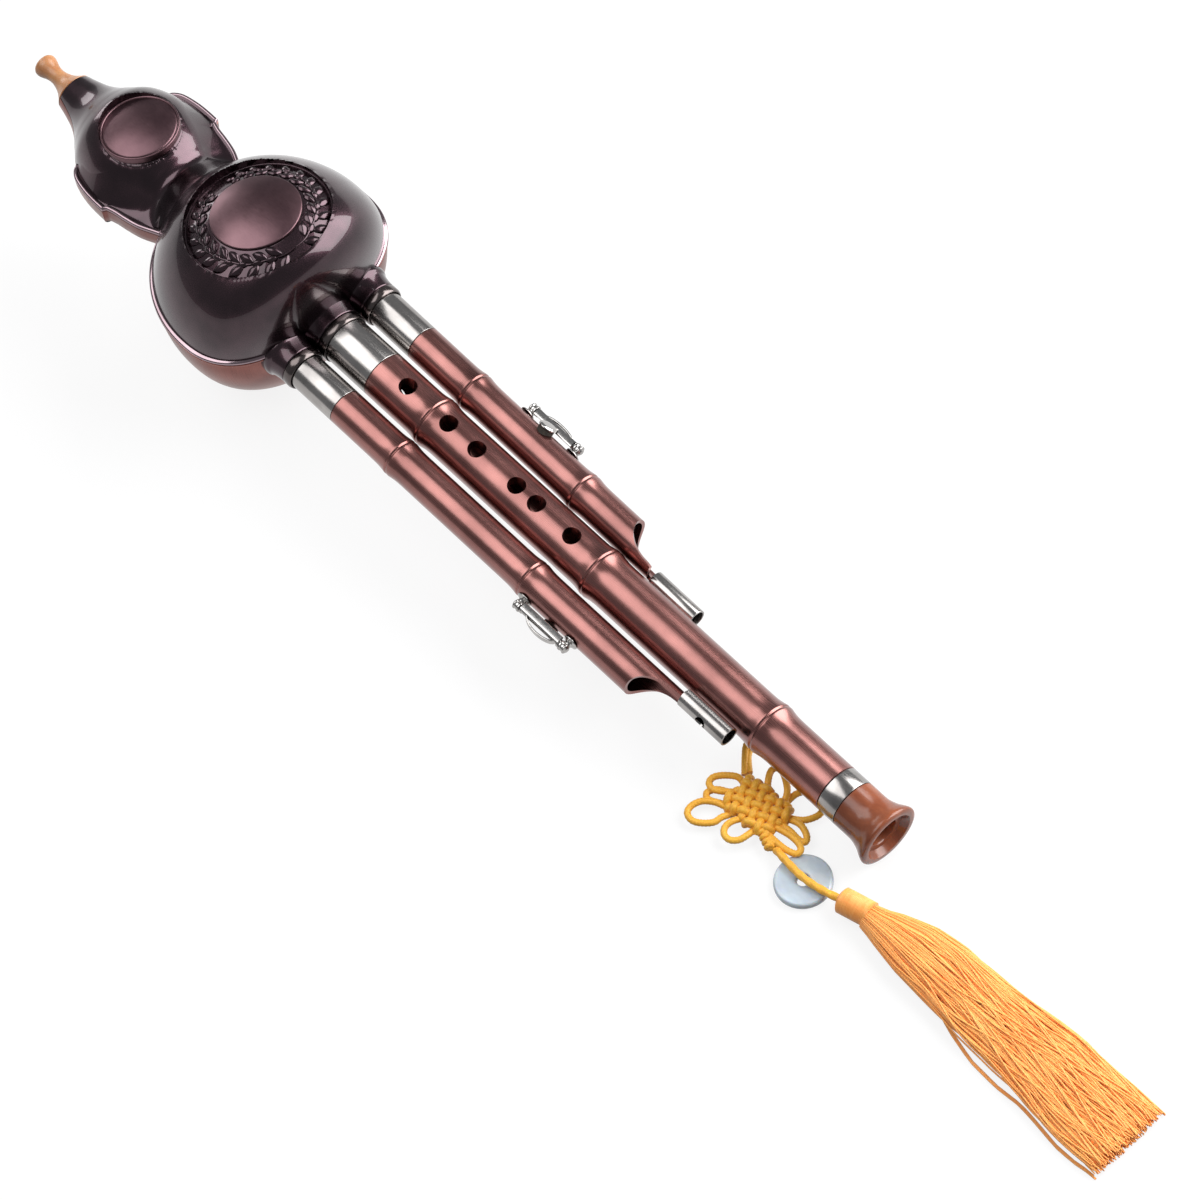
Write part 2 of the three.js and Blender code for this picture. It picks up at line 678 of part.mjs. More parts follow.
function keyLever(front) {
  const tubeHalf = keySpan / 2 - postHeadLength / 2 - seatGap;
  const halfSpan = strapSpan / 2;
  const strap = new THREE.Shape();
  strap.moveTo(-halfSpan, 0);
  strap.splineThru([
    new THREE.Vector2(-halfSpan * 0.66, strapBow * 0.62),
    new THREE.Vector2(0, strapBow),
    new THREE.Vector2(halfSpan * 0.66, strapBow * 0.62),
    new THREE.Vector2(halfSpan, 0),
  ]);
  strap.lineTo(halfSpan - strapThickness * 2, 0);
  strap.splineThru([
    new THREE.Vector2(halfSpan * 0.56, strapBow * 0.62 - strapThickness),
    new THREE.Vector2(0, strapBow - strapThickness),
    new THREE.Vector2(-halfSpan * 0.56, strapBow * 0.62 - strapThickness),
    new THREE.Vector2(-halfSpan + strapThickness * 2, 0),
  ]);
  const strapSolid = solidOf(new THREE.ExtrudeGeometry(strap, {
    depth: strapWidth,
    bevelEnabled: false,
    curveSegments: 3,
  }).rotateX(Math.PI / 2).translate(0, strapWidth / 2 + front * strapWidth * 0.3, keyHeight));
  const barrel = solidOf(rod(-tubeHalf, tubeHalf, keyTubeRadius, tinySides).translate(0, 0, keyHeight));
  const bore = solidOf(rod(-keySpan, keySpan, pinRadius + seatGap, tinySides).translate(0, 0, keyHeight));
  const angle = THREE.MathUtils.degToRad(padAngle);
  const cupFoot = droneRadius + seatGap + padThickness + seatGap;
  const cupMiddle = cupFoot + cupThickness / 2;
  const armEnd = new THREE.Vector2(-Math.sin(angle) * cupMiddle, Math.cos(angle) * cupMiddle);
  const armStart = new THREE.Vector2(0, keyHeight);
  const armLength = armEnd.distanceTo(armStart);
  const armTurn = Math.atan2(armEnd.y - armStart.y, armEnd.x - armStart.x);
  const arm = solidOf(new THREE.BoxGeometry(keyArmWidth, armLength, cupThickness)
    .translate(0, armLength / 2, 0)
    .rotateX(armTurn)
    .translate(0, armStart.x, armStart.y));
  const cup = solidOf(standing(rod(cupFoot, cupFoot + cupThickness, cupRadius, smallSides)).rotateX(angle));
  const padRoom = solidOf(standing(rod(0, cupFoot, cupRadius, smallSides)).rotateX(angle));
  return barrel.add(strapSolid).add(arm).add(cup).subtract(bore).subtract(padRoom);
}

function keyPad() {
  const angle = THREE.MathUtils.degToRad(padAngle);
  const from = droneBoreRadius;
  const to = droneRadius + seatGap + padThickness;
  const under = solidOf(rod(-padRadius * 2, padRadius * 2, droneRadius + seatGap / 2, pipeSides));
  return solidOf(standing(rod(from, to, padRadius, smallSides)).rotateX(angle)).subtract(under);
}

Object.keys(drones).forEach((name) => {
  const { nodes, tail, turn, key, out } = drones[name];
  const side = (geometry) => geometry.applyMatrix4(pipePlaces[name]);
  add(`${name}_drone_pipe`, side(geometryOf(dronePipe(name))), finishes.pipeCopper, instrument);
  let tailTube = solidOf(tube(tail, tail + tailLength, tailRadius, tailRadius - tailWall, smallSides));
  if (name === 'left') {
    tailTube = tailTube.subtract(solidOf(standing(rod(0, tailRadius * 2, tailHoleDiameter / 2, tinySides))
      .rotateX(Math.PI / 2)
      .rotateX(-Math.PI / 4)
      .translate(tail + tailHolePlace, 0, 0)));
  }
  const tailGeometry = geometryOf(tailTube)
    .translate(0, tailReach * Math.cos(THREE.MathUtils.degToRad(turn)), tailReach * Math.sin(THREE.MathUtils.degToRad(turn)));
  add(`${name}_tail_tube`, side(tailGeometry), finishes.nickel, instrument);
  const keyed = (solid) => side(geometryOf(solid).translate(key, 0, 0).applyMatrix4(keyTurn(out)));
  const nearNodes = nodes.map((place) => place - key);
  add(`${name}_key_post_rear`, keyed(keyPost(-1, nearNodes)), finishes.keyNickel, instrument);
  add(`${name}_key_post_front`, keyed(keyPost(1, nearNodes)), finishes.keyNickel, instrument);
  const pinHalf = keySpan / 2 + postHeadLength / 4 - seatGap;
  add(`${name}_key_rod`, side(rod(-pinHalf, pinHalf, pinRadius, tinySides)
    .translate(key, 0, keyHeight)
    .applyMatrix4(keyTurn(out))), finishes.keyNickel, instrument);
  add(`${name}_key_lever`, keyed(keyLever(out)), finishes.keyNickel, instrument);
  add(`${name}_key_pad`, keyed(keyPad()), finishes.pad, instrument);
});

// Reed tubes reach from the pipes' tenons into the gourd, with a flat and a reed on it
pipeNames.forEach((name) => {
  const bore = name === 'main' ? mainBoreRadius : droneTenonBoreRadius;
  const outer = bore - seatGap;
  const start = -reedTubeInset - reedTubeLength;
  const flatHeight = outer * 0.8;
  const place = pipePlaces[name];
  const shell = solidOf(revolve([
    [-reedTubeInset, outer - reedWall],
    [-reedTubeInset, outer],
    [start, outer],
    [start, 0],
    [start + reedWall * 2, 0],
    [start + reedWall * 2, outer - reedWall],
  ], smallSides));
  const flat = solidOf(block(start - cutOver, -tenonLength - cutOver, -outer, outer, flatHeight, outer * 2));
  const floor = solidOf(block(start, -tenonLength - cutOver, -outer / 2, outer / 2, flatHeight - reedWall, flatHeight));
  const slotStart = start + reedWall * 4;
  const slot = solidOf(block(
    slotStart,
    slotStart + reedLength - reedWall * 2,
    -reedSlotWidth / 2,
    reedSlotWidth / 2,
    0,
    outer * 2,
  ));
  add(`${name}_reed_tube`, geometryOf(shell.subtract(flat).add(floor).subtract(slot)).applyMatrix4(place),
    finishes.brass, instrument);
  add(`${name}_reed`, block(
    slotStart - reedWall,
    slotStart - reedWall + reedLength,
    -reedWidth / 2,
    reedWidth / 2,
    flatHeight + flatGap,
    flatHeight + flatGap + reedThickness,
  ).applyMatrix4(place), finishes.brass, instrument);
});

// Charm, on the table beside the bell. Points are [along the pipe, across, height over the table]
const tableAt = (x) => -bellRimRadius + (x - rimPlace) * Math.tan(tilt);
const onTable = ([x, y, height]) => new THREE.Vector3(x, y, tableAt(x))
  .applyMatrix4(laid)
  .add(new THREE.Vector3(0, 0, height));
const onPipe = ([x, y, z]) => new THREE.Vector3(x, y, z).applyMatrix4(laid);

function cordTube(points, diameter, steps) {
  const circle = new THREE.Shape().absarc(0, 0, diameter / 2, 0, 2 * Math.PI);
  return new THREE.ExtrudeGeometry(circle, {
    extrudePath: new THREE.CatmullRomCurve3(points),
    steps,
    curveSegments: cordSides / 2,
    bevelEnabled: false,
  });
}

const charm = new THREE.Group();

const loopOnPipe = [
  [187, -6.4, -14], [186.5, -4, -11.4], [186.5, -3.6, -9], [186.5, -3.6, -6], [186.5, -3.4, -3.6], [186.5, 0, -1.8],
  [186.5, 3.4, -3.6], [186.5, 3.6, -6], [186.5, 3.6, -9], [186.5, 3, -11.6], [187.2, -1.4, -14], [188.6, -6.6, -15.2],
];
const loopPoints = [
  onTable([194, -13.2, 2.8]),
  ...loopOnPipe.map(onPipe),
  onTable([194.6, -11.6, 2.8]),
];
add('hanging_loop', cordTube(loopPoints, cordDiameter, 24), finishes.cord, charm);

const knotMiddle = onTable([205.6, -16.6, 0]);
const knotShares = { core: [11, 9.5, 3], loop: 4.6, loopWidth: 0.62 };
const knotLift = knotShares.core[2];
const knotCore = new THREE.SphereGeometry(1, tinySides, tinySides / 2)
  .scale(...knotShares.core)
  .translate(knotMiddle.x, knotMiddle.y, knotLift);
let knot = solidOf(knotCore);
const knotLoops = [[186, -24], [189, -36.6], [204, -33.4], [226.8, -19.5], [203.7, -2], [222.8, -5.5]];
knotLoops.forEach(([x, y]) => {
  const tip = onTable([x, y, 0]);
  const length = Math.hypot(tip.x - knotMiddle.x, tip.y - knotMiddle.y) / 2;
  const turn = Math.atan2(tip.y - knotMiddle.y, tip.x - knotMiddle.x);
  const ring = new THREE.TorusGeometry(1, cordDiameter / 2 / length, cordSides - 2, tinySides + 2)
    .scale(length, length * knotShares.loopWidth, length)
    .rotateZ(turn)
    .translate((tip.x + knotMiddle.x) / 2, (tip.y + knotMiddle.y) / 2, knotLift / 2);
  knot = knot.add(solidOf(ring));
});
const buttonRadius = 2.6;
const buttonMiddle = onTable([219.6, -25.3, buttonRadius]);
const button = (radius) => new THREE.SphereGeometry(radius, tinySides, tinySides / 2)
  .translate(buttonMiddle.x, buttonMiddle.y, buttonMiddle.z);
add('charm_knot', geometryOf(knot.subtract(solidOf(button(buttonRadius + seatGap)))), finishes.cord, charm);
add('button_knot', button(buttonRadius), finishes.cord, charm);

const discMiddle = onTable([237, -27.4, discThickness / 2]);
add('jade_disc', standing(revolve([
  [-discThickness / 2, discHoleRadius],
  [-discThickness / 2, discRadius - discThickness / 4],
  [-discThickness / 4, discRadius],
  [discThickness / 4, discRadius],
  [discThickness / 2, discRadius - discThickness / 4],
  [discThickness / 2, discHoleRadius],
], pipeSides)).translate(discMiddle.x, discMiddle.y, discMiddle.z), finishes.jade, charm);

const dropPoints = [
  [222.6, -25.8, 2.8], [225.4, -26.4, 4.2], [229, -26.9, 4.4], [237, -27.4, 4.4], [245, -26.4, 4.4],
  [250.8, -24.9, 4.4],
].map(onTable);
add('drop_cord', cordTube(dropPoints, cordDiameter, 20), finishes.cord, charm);

// Tassel: a bound head and a flattened skirt. Shares give [along, half width, half height, sideways]
const headFrom = onTable([251.3, -24.7, tasselHeadRadius]);
const headTo = onTable([263.4, -21.9, tasselHeadRadius]);
const headTurn = Math.atan2(headTo.y - headFrom.y, headTo.x - headFrom.x);
const headLength = headTo.distanceTo(headFrom);
add('tassel_head', revolve([
  [0, 0], [0, tasselHeadRadius * 0.8], [headLength * 0.2, tasselHeadRadius],
  [headLength * 0.8, tasselHeadRadius], [headLength - seatGap, tasselHeadRadius * 0.9], [headLength - seatGap, 0],
], smallSides).rotateZ(headTurn).translate(headFrom.x, headFrom.y, tasselHeadRadius), finishes.silk, charm);

const skirtStart = onTable([264.9, -21.6, 0]);
const skirtEnd = onTable([376.5, -20.3, 0]);
const skirtLength = skirtEnd.x - skirtStart.x;
const skirtShares = [
  [0, 4.4, 4.2, 0], [0.06, 6.2, 4.6, 0], [0.16, 8.8, 4.6, 0.6], [0.33, 12, 4.2, 2.6], [0.6, 14.6, 3.6, 1.4],
  [0.85, 15.8, 3, 0], [1, 16.2, 2.6, 0],
];
const skirt = revolve([
  [0, 0], ...skirtShares.map(([along]) => [along, 1]), [1, 0],
], smallSides);
const skirtPlace = skirt.attributes.position;
for (let k = 0; k < skirtPlace.count; k += 1) {
  const p = new THREE.Vector3().fromBufferAttribute(skirtPlace, k);
  const [, width, height, sideways] = skirtShares.find(([along]) => Math.abs(along - p.x) < flatGap / 9);
  skirtPlace.setXYZ(
    k,
    skirtStart.x + p.x * skirtLength,
    skirtStart.y + p.x * (skirtEnd.y - skirtStart.y) + p.y * width + sideways,
    height + p.z * height,
  );
}
add('tassel_skirt', skirt, finishes.silk, charm);

const hulusi = new THREE.Group();
hulusi.add(instrument);
hulusi.add(charm);
export default hulusi;
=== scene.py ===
"""A hulusi in antique copper finish, lying on a pale floor, seen from above its front.

Sizes are in millimetres in the instrument's own frame: X along the melody pipe towards the bell from the
end of the nickel sockets, Z out of the front, Y to the shorter drone. place() lays points in the row frame.
"""

import math

import bmesh
import bpy
import numpy as np
from mathutils import Matrix, Vector


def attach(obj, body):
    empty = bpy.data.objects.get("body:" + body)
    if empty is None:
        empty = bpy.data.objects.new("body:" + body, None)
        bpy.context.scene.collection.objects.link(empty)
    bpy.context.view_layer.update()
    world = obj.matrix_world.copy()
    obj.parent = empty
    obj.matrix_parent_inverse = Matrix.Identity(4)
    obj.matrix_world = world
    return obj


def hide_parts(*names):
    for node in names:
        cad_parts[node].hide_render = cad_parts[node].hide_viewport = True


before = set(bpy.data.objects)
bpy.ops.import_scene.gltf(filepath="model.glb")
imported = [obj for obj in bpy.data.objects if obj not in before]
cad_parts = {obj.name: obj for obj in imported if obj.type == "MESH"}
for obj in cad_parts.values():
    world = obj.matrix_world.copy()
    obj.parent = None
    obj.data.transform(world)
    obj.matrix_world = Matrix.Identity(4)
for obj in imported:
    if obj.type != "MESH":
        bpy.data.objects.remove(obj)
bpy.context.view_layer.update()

MM = 0.001
TURN = 2 * math.pi
rng = np.random.default_rng(7)

# ---- Sizes that the CAD part has too ----
LOBE_X, LOBE_R, BASE_REACH = -57.5, 42.4, 28.4
BASE_POWER, FRONT_POWER, FRONT_LEAN = 2.5, 1.0, 0.13
LOBE_START = math.radians(30)
SEAM = 4.0
UPPER_R, UPPER_LENGTH, NECK_X = 23.5, 62.0, -166.0
REST = 41.9
RIM_X, RIM_R = 248.2, 12.0
TILT = math.asin(REST / math.hypot(RIM_X - LOBE_X, RIM_R)) - math.atan2(RIM_R, RIM_X - LOBE_X)
MAIN_R, MAIN_BORE, DRONE_R, DRONE_BORE = 9.0, 5.4, 6.8, 5.5
SPACING, SLOPE = 18.0, -0.01

# The instrument's frame in the row frame
LAID = np.array([
    [math.cos(TILT), 0, math.sin(TILT)],
    [0, 1, 0],
    [-math.sin(TILT), 0, math.cos(TILT)],
])
LAID_AT = np.array([-LOBE_X * math.cos(TILT), 0, REST + LOBE_X * math.sin(TILT)])


def place(points):
    """Instrument millimetres to row-frame metres."""
    return (np.asarray(points, float) @ LAID.T + LAID_AT) * MM


def table(points):
    """Row-frame millimetres to metres."""
    return np.asarray(points, float) * MM


def on_table(x, y, height):
    """A point given along the pipe and across, at a height over the floor, in row-frame millimetres."""
    z = -RIM_R + (x - RIM_X) * math.tan(TILT)
    return place([x, y, z]) / MM + np.array([0, 0, height])


# ---- Camera ----
def camera():
    """The photograph's view, fitted on the pipes' edges, the finger holes and the nodes."""
    alpha, beta, roll = 1.16459953, 0.31868906, -0.74239192
    target, distance, focal = np.array([117.572, -7.115, 0.0]), 1829.77, 5456.727
    back = np.array([math.cos(alpha), -math.sin(alpha) * math.sin(beta), math.sin(alpha) * math.cos(beta)])
    along = np.array([1.0, 0, 0]) - back[0] * back
    along /= np.linalg.norm(along)
    across = np.cross(back, along)
    right = math.cos(roll) * along - math.sin(roll) * across
    up = math.sin(roll) * along + math.cos(roll) * across
    data = bpy.data.cameras.new("camera")
    data.sensor_width = 36
    data.lens = focal / 1200 * data.sensor_width
    data.clip_start, data.clip_end = 0.05, 20
    data.dof.use_dof = False
    cam = bpy.data.objects.new("camera", data)
    bpy.context.scene.collection.objects.link(cam)
    turn = np.stack([LAID @ right, LAID @ up, LAID @ back], axis=1)
    cam.matrix_world = Matrix.Translation(place(target + distance * back)) @ Matrix(turn.tolist()).to_4x4()
    bpy.context.scene.camera = cam


camera()


# ---- Mesh helpers ----
def grid(nu, nv, wrap_u=False, wrap_v=False):
    """Four corners of each cell of an nu by nv grid of points, and the cells' own steps for UVs."""
    a, b = np.meshgrid(np.arange(nu if wrap_u else nu - 1), np.arange(nv if wrap_v else nv - 1), indexing="ij")
    steps = np.stack([np.stack([a, b], -1), np.stack([a + 1, b], -1), np.stack([a + 1, b + 1], -1),
                      np.stack([a, b + 1], -1)], -2).reshape(-1, 4, 2)
    quads = (steps[..., 0] % nu) * nv + steps[..., 1] % nv
    return quads, steps


def unit(vectors):
    """The same directions with length 1."""
    return vectors / np.linalg.norm(vectors, axis=-1, keepdims=True)


def travelled(points):
    """The length along a line at each of its points."""
    return np.concatenate([[0], np.cumsum(np.linalg.norm(np.diff(points, axis=0), axis=1))])


def bent(a, b, c, t):
    """A quadratic curve from a to c that is drawn towards b."""
    return (1 - t) ** 2 * a + 2 * t * (1 - t) * b + t * t * c


def capped(points):
    """Closes a tube of rings with the middle of its first and of its last ring."""
    ends = [np.repeat(points[k:k + 1].mean(1, keepdims=True), points.shape[1], 1) for k in (0, -1)]
    return np.concatenate([ends[0], points, ends[1]])


def ringed(line, side, up, radius, f):
    """Rings about a line: at angle f the point lies radius (side cos f + up sin f) from it."""
    out = np.cos(f)[:, None] * side[..., None, :] + np.sin(f)[:, None] * up[..., None, :]
    return line[..., None, :] + radius[..., None] * out


def skin(points, u=None, v=None, wrap_u=False, wrap_v=False, mat=0, keep=None):
    """A surface over a grid of points. u and v give the UV of each grid line, one more where it wraps."""
    nu, nv = points.shape[:2]
    quads, steps = grid(nu, nv, wrap_u, wrap_v)
    u = np.arange(nu + 1) / nu if u is None else np.asarray(u, float)
    v = np.arange(nv + 1) / nv if v is None else np.asarray(v, float)
    uv = np.stack([u[steps[..., 0]], v[steps[..., 1]]], -1)
    if keep is not None:
        chosen = keep(quads, steps)
        quads, uv = quads[chosen], uv[chosen]
    return {"points": points.reshape(-1, 3), "quads": quads, "uv": uv, "mat": mat}


def walled(outer, inner):
    """Closes a surface with an inner copy of its points and a strip of wall along each free edge."""
    count = len(outer["points"])
    quads = outer["quads"]
    edges = quads[:, [0, 1, 1, 2, 2, 3, 3, 0]].reshape(-1, 2)
    edge_uv = outer["uv"][:, [0, 1, 1, 2, 2, 3, 3, 0]].reshape(-1, 2, 2)
    free = ~np.isin(edges[:, 0] * count + edges[:, 1], edges[:, 1] * count + edges[:, 0])
    free &= edges[:, 0] != edges[:, 1]
    edges, edge_uv = edges[free], edge_uv[free]
    rim = np.stack([edges[:, 1], edges[:, 0], edges[:, 0] + count, edges[:, 1] + count], 1)
    rim_uv = edge_uv[:, [1, 0, 0, 1]]
    return {
        "points": np.concatenate([outer["points"], inner.reshape(-1, 3)]),
        "quads": np.concatenate([quads, quads[:, ::-1] + count, rim]),
        "uv": np.concatenate([outer["uv"], outer["uv"][:, ::-1], rim_uv]),
        "mat": outer["mat"],
    }


def piece(name, parts, body, nodes, materials, at=place, sharp=35, merge=True):
    """Joins parts into one object that rides on a body and stands for CAD nodes."""
    points, quads, uvs, mats, start = [], [], [], [], 0
    for part in parts:
        points.append(part["points"])
        quads.append(part["quads"] + start)
        uvs.append(part["uv"])
        mats.append(np.full(len(part["quads"]), part["mat"]))
        start += len(part["points"])
    co, quads, uvs, mats = at(np.concatenate(points)), np.concatenate(quads), np.concatenate(uvs), np.concatenate(mats)
    mesh = bpy.data.meshes.new(name)
    mesh.vertices.add(len(co))
    mesh.vertices.foreach_set("co", co.astype(np.float32).ravel())
    mesh.loops.add(quads.size)
    mesh.loops.foreach_set("vertex_index", quads.astype(np.int32).ravel())
    mesh.polygons.add(len(quads))
    mesh.polygons.foreach_set("loop_start", np.arange(0, quads.size, 4, dtype=np.int32))
    mesh.polygons.foreach_set("material_index", mats.astype(np.int32))
    layer = mesh.uv_layers.new(name="UVMap")
    mesh.update(calc_edges=True)
    layer.uv.foreach_set("vector", uvs.astype(np.float32).ravel())
    if merge:
        bm = bmesh.new()
        bm.from_mesh(mesh)
        bmesh.ops.remove_doubles(bm, verts=bm.verts, dist=2e-6)
        bmesh.ops.dissolve_degenerate(bm, dist=1e-6, edges=bm.edges)
        bmesh.ops.recalc_face_normals(bm, faces=bm.faces)
        bm.to_mesh(mesh)
        bm.free()
    mesh.validate()
    mesh.polygons.foreach_set("use_smooth", np.ones(len(mesh.polygons), dtype=bool))
    mesh.set_sharp_from_angle(angle=math.radians(sharp))
    for material in materials:
        mesh.materials.append(material)
    obj = bpy.data.objects.new(name, mesh)
    bpy.context.scene.collection.objects.link(obj)
    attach(obj, body)
    if nodes:
        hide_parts(*nodes)
    return obj


def rounded(profile, radius=0.25, steps=3):
    """A closed profile of (x, r) points with each clear corner off the axis turned into a small arc."""
    p = np.asarray(profile, float)
    out = []
    for before, here, after in zip(np.roll(p, 1, 0), p, np.roll(p, -1, 0)):
        a, b = before - here, after - here
        la, lb = np.linalg.norm(a), np.linalg.norm(b)
        plain = here[1] < 1e-6 or la < 1e-6 or lb < 1e-6
        if plain or math.pi - math.acos(np.clip(a @ b / la / lb, -1, 1)) < 0.5:
            out.append(here)
            continue
        cut = min(radius, la * 0.45, lb * 0.45)
        p0, p2 = here + a / la * cut, here + b / lb * cut
        out += [bent(p0, here, p2, t) for t in np.linspace(0, 1, steps + 1)]
    return np.array(out)


def sleeve(start, end, inner, outer, *rounding):
    """The profile of a plain tube, with rounded edges."""
    return rounded([(start, inner), (start, outer), (end, outer), (end, inner)], *rounding)


def lathe(profile, sides=96, closed=True, move=None):
    """Turns (x, r) points about the X axis: the point at angle f is (x, r sin f, r cos f)."""
    p = np.asarray(profile, float)
    f = np.linspace(0, TURN, sides, endpoint=False)
    points = np.stack([
        np.repeat(p[:, :1], sides, 1),
        p[:, 1:2] * np.sin(f),
        p[:, 1:2] * np.cos(f),
    ], -1)
    if move is not None:
        points = move(points)
    along = travelled(np.vstack([p, p[:1]]))
    return skin(points, u=along, v=np.linspace(0, 1, sides + 1), wrap_u=closed, wrap_v=True)


def spline(points, per=12):
    """A uniform Catmull-Rom curve through the points."""
    p = np.asarray(points, float)
    t = np.linspace(0, 1, per, endpoint=False)[:, None]
    out = []
    for k in range(len(p) - 1):
        a, b, c, d = p[max(k - 1, 0)], p[k], p[k + 1], p[min(k + 2, len(p) - 1)]
        out.append(0.5 * (2 * b + (c - a) * t + (2 * a - 5 * b + 4 * c - d) * t ** 2
                          + (3 * b - a - 3 * c + d) * t ** 3))
    return np.concatenate(out + [p[-1:]])


def evened(path, step, closed=False):
    """The same line with points a constant step apart, and the length along it at each."""
    p = np.vstack([path, path[:1]]) if closed else np.asarray(path, float)
    along = travelled(p)
    count = max(4, int(round(along[-1] / step)) + 1)
    s = np.linspace(0, along[-1], count)
    out = np.stack([np.interp(s, along, p[:, k]) for k in range(p.shape[1])], 1)
    return (out[:-1], s) if closed else (out, s)


def frames(path, closed=False):
    """Two directions across a line at each of its points, turned as little as the line lets them."""
    ahead = np.roll(path, -1, 0) - np.roll(path, 1, 0)
    if not closed:
        ahead[0], ahead[-1] = path[1] - path[0], path[-1] - path[-2]
    ahead = unit(ahead)
    side = np.cross(ahead, [0.0, 0.0, 1.0])
    flat = np.linalg.norm(side, axis=1) < 0.2
    side[flat] = np.cross(ahead[flat], [1.0, 0.0, 0.0])
    out = [unit(side[0])]
    for k in range(1, len(path)):
        out.append(unit(out[-1] - (out[-1] @ ahead[k]) * ahead[k]))
    side = np.array(out)
    return side, np.cross(ahead, side)


def rope(path, diameter, strands=3, lay=3.2, sides=24, step=0.35, closed=False):
    """A laid cord along a line: at angle f and length s its radius swells by |cos(n/2 (f - 2 pi s / lay))|."""
    line, s = evened(path, step, closed)
    side, up = frames(line, closed)
    f = np.linspace(0, TURN, sides, endpoint=False)
    turns = s[:len(line), None] / lay * TURN
    ridge = np.abs(np.cos(strands / 2 * (f[None, :] - turns)))
    r = diameter / 2 * (0.86 + 0.16 * ridge)
    points = ringed(line, side, up, r, f)
    u = s
    if not closed:
        points = np.concatenate([np.repeat(line[:1, None], sides, 1), points, np.repeat(line[-1:, None], sides, 1)])
        u = np.concatenate([s[:1], s, s[-1:]])
    u = np.append(u, u[-1] + step)
    return skin(points, u=u, v=np.linspace(0, 1, sides + 1), wrap_u=closed, wrap_v=True)


# ---- Materials ----
def rgb(hexa):
    """sRGB hex to linear RGBA."""
    c = [int(hexa[k:k + 2], 16) / 255 for k in (1, 3, 5)]
    return (*[x / 12.92 if x <= 0.04045 else ((x + 0.055) / 1.055) ** 2.4 for x in c], 1)


def node(tree, kind, settings=None, **links):
    """Adds a shader node, sets its properties and sockets, and links sockets to outputs. A link's key is the
    socket's name with _ for a space, or _ and its number."""
    made = tree.nodes.new(kind)
    for key, value in (settings or {}).items():
        if isinstance(key, int) or key in made.inputs:
            made.inputs[key].default_value = value
        else:
            setattr(made, key, value)
    for key, source in links.items():
        numbered = key[0] == "_" and key[1:].isdigit()
        tree.links.new(source, made.inputs[int(key[1:]) if numbered else key.replace("_", " ")])
    return made


def start(name):
    """A new material, its tree and its shader."""
    material = bpy.data.materials.new(name)
    material.use_nodes = True
    return material, material.node_tree, material.node_tree.nodes["Principled BSDF"]


def stretched(tree, scale, source="UV", detail=3.0, rough=0.55):
    """Noise stretched by the given scale per unit of UV or of object metres."""
    coord = node(tree, "ShaderNodeTexCoord")
    mapped = node(tree, "ShaderNodeMapping", {"Scale": scale}, Vector=coord.outputs[source])
    return node(tree, "ShaderNodeTexNoise", {"Scale": 1.0, "Detail": detail, "Roughness": rough},
                Vector=mapped.outputs[0])


def ramp(tree, source, stops):
    """A colour ramp of (position, hex) stops."""
    made = node(tree, "ShaderNodeValToRGB", Fac=source)
    while len(made.color_ramp.elements) < len(stops):
        made.color_ramp.elements.new(0.5)
    for element, (position, colour) in zip(made.color_ramp.elements, stops):
        element.position, element.color = position, rgb(colour)
    return made


def spread(tree, source, low, high, to_low, to_high):
    """Maps a value range to another."""
    return node(tree, "ShaderNodeMapRange", {"From Min": low, "From Max": high, "To Min": to_low, "To Max": to_high},
                Value=source)


def metal(name, dark, light, rough, lines, line_depth, coat=0.0, coat_rough=0.05, lined="#B4B4B4", source="UV"):
    """A brushed metal: fine lines stretched along one direction and line_depth mm deep, cloudy tone over about
    17 mm, and uneven roughness."""
    material, tree, shader = start(name)
    fine = stretched(tree, lines, source, 4.0, 0.7)
    cloud = stretched(tree, (60, 60, 60), "Object")
    colour = ramp(tree, cloud.outputs["Fac"], [(0.3, dark), (0.7, light)])
    shade = node(tree, "ShaderNodeMix", {"data_type": "RGBA", "blend_type": "MULTIPLY", 0: 0.5},
                 _6=colour.outputs[0], _7=ramp(tree, fine.outputs["Fac"], [(0.3, lined), (0.65, "#FFFFFF")]).outputs[0])
    roughness = spread(tree, fine.outputs["Fac"], 0.3, 0.7, rough * 0.8, rough * 1.25)
    bump = node(tree, "ShaderNodeBump", {"Strength": 0.35, "Distance": line_depth * MM}, Height=fine.outputs["Fac"])
    shader.inputs["Metallic"].default_value = 1.0
    shader.inputs["Coat Weight"].default_value = coat
    shader.inputs["Coat Roughness"].default_value = coat_rough
    tree.links.new(shade.outputs[2], shader.inputs["Base Color"])
    tree.links.new(roughness.outputs[0], shader.inputs["Roughness"])
    tree.links.new(bump.outputs[0], shader.inputs["Normal"])
    return material


# Dark electroplated copper, brushed, under clear lacquer: a soft purple-brown sheen below a sharp, cool gloss
front_metal = metal("copper_dark_lacquered", "#33242A", "#4D383F", 0.26, (2.0, 260.0, 1.0), 0.006, coat=0.6,
                    coat_rough=0.03)
# The polished lip of the front half: a bright, cool mirror line
lip_metal = metal("copper_lip_polished", "#8A767C", "#A8949A", 0.12, (0.4, 60.0, 1.0), 0.003)
# Brushed red copper of the back half, softer than the front
back_metal = metal("copper_back_brushed", "#6E413C", "#8E5C54", 0.3, (4.0, 5.0, 1.0), 0.012)
# Antique copper pipes, brushed along their length: a pink-brown metal with fine long lines
pipe_metal = metal("copper_pipe_brushed", "#82544F", "#A06C66", 0.27, (0.05, 420.0, 1.0), 0.012, lined="#B8B8B8",
                   coat=0.45, coat_rough=0.2)
# Brushed boss of the medallions, a little paler than the shell
boss_metal = metal("copper_boss_brushed", "#5E474C", "#7A5E63", 0.34, (500.0, 9000.0, 500.0), 0.01, source="Object")
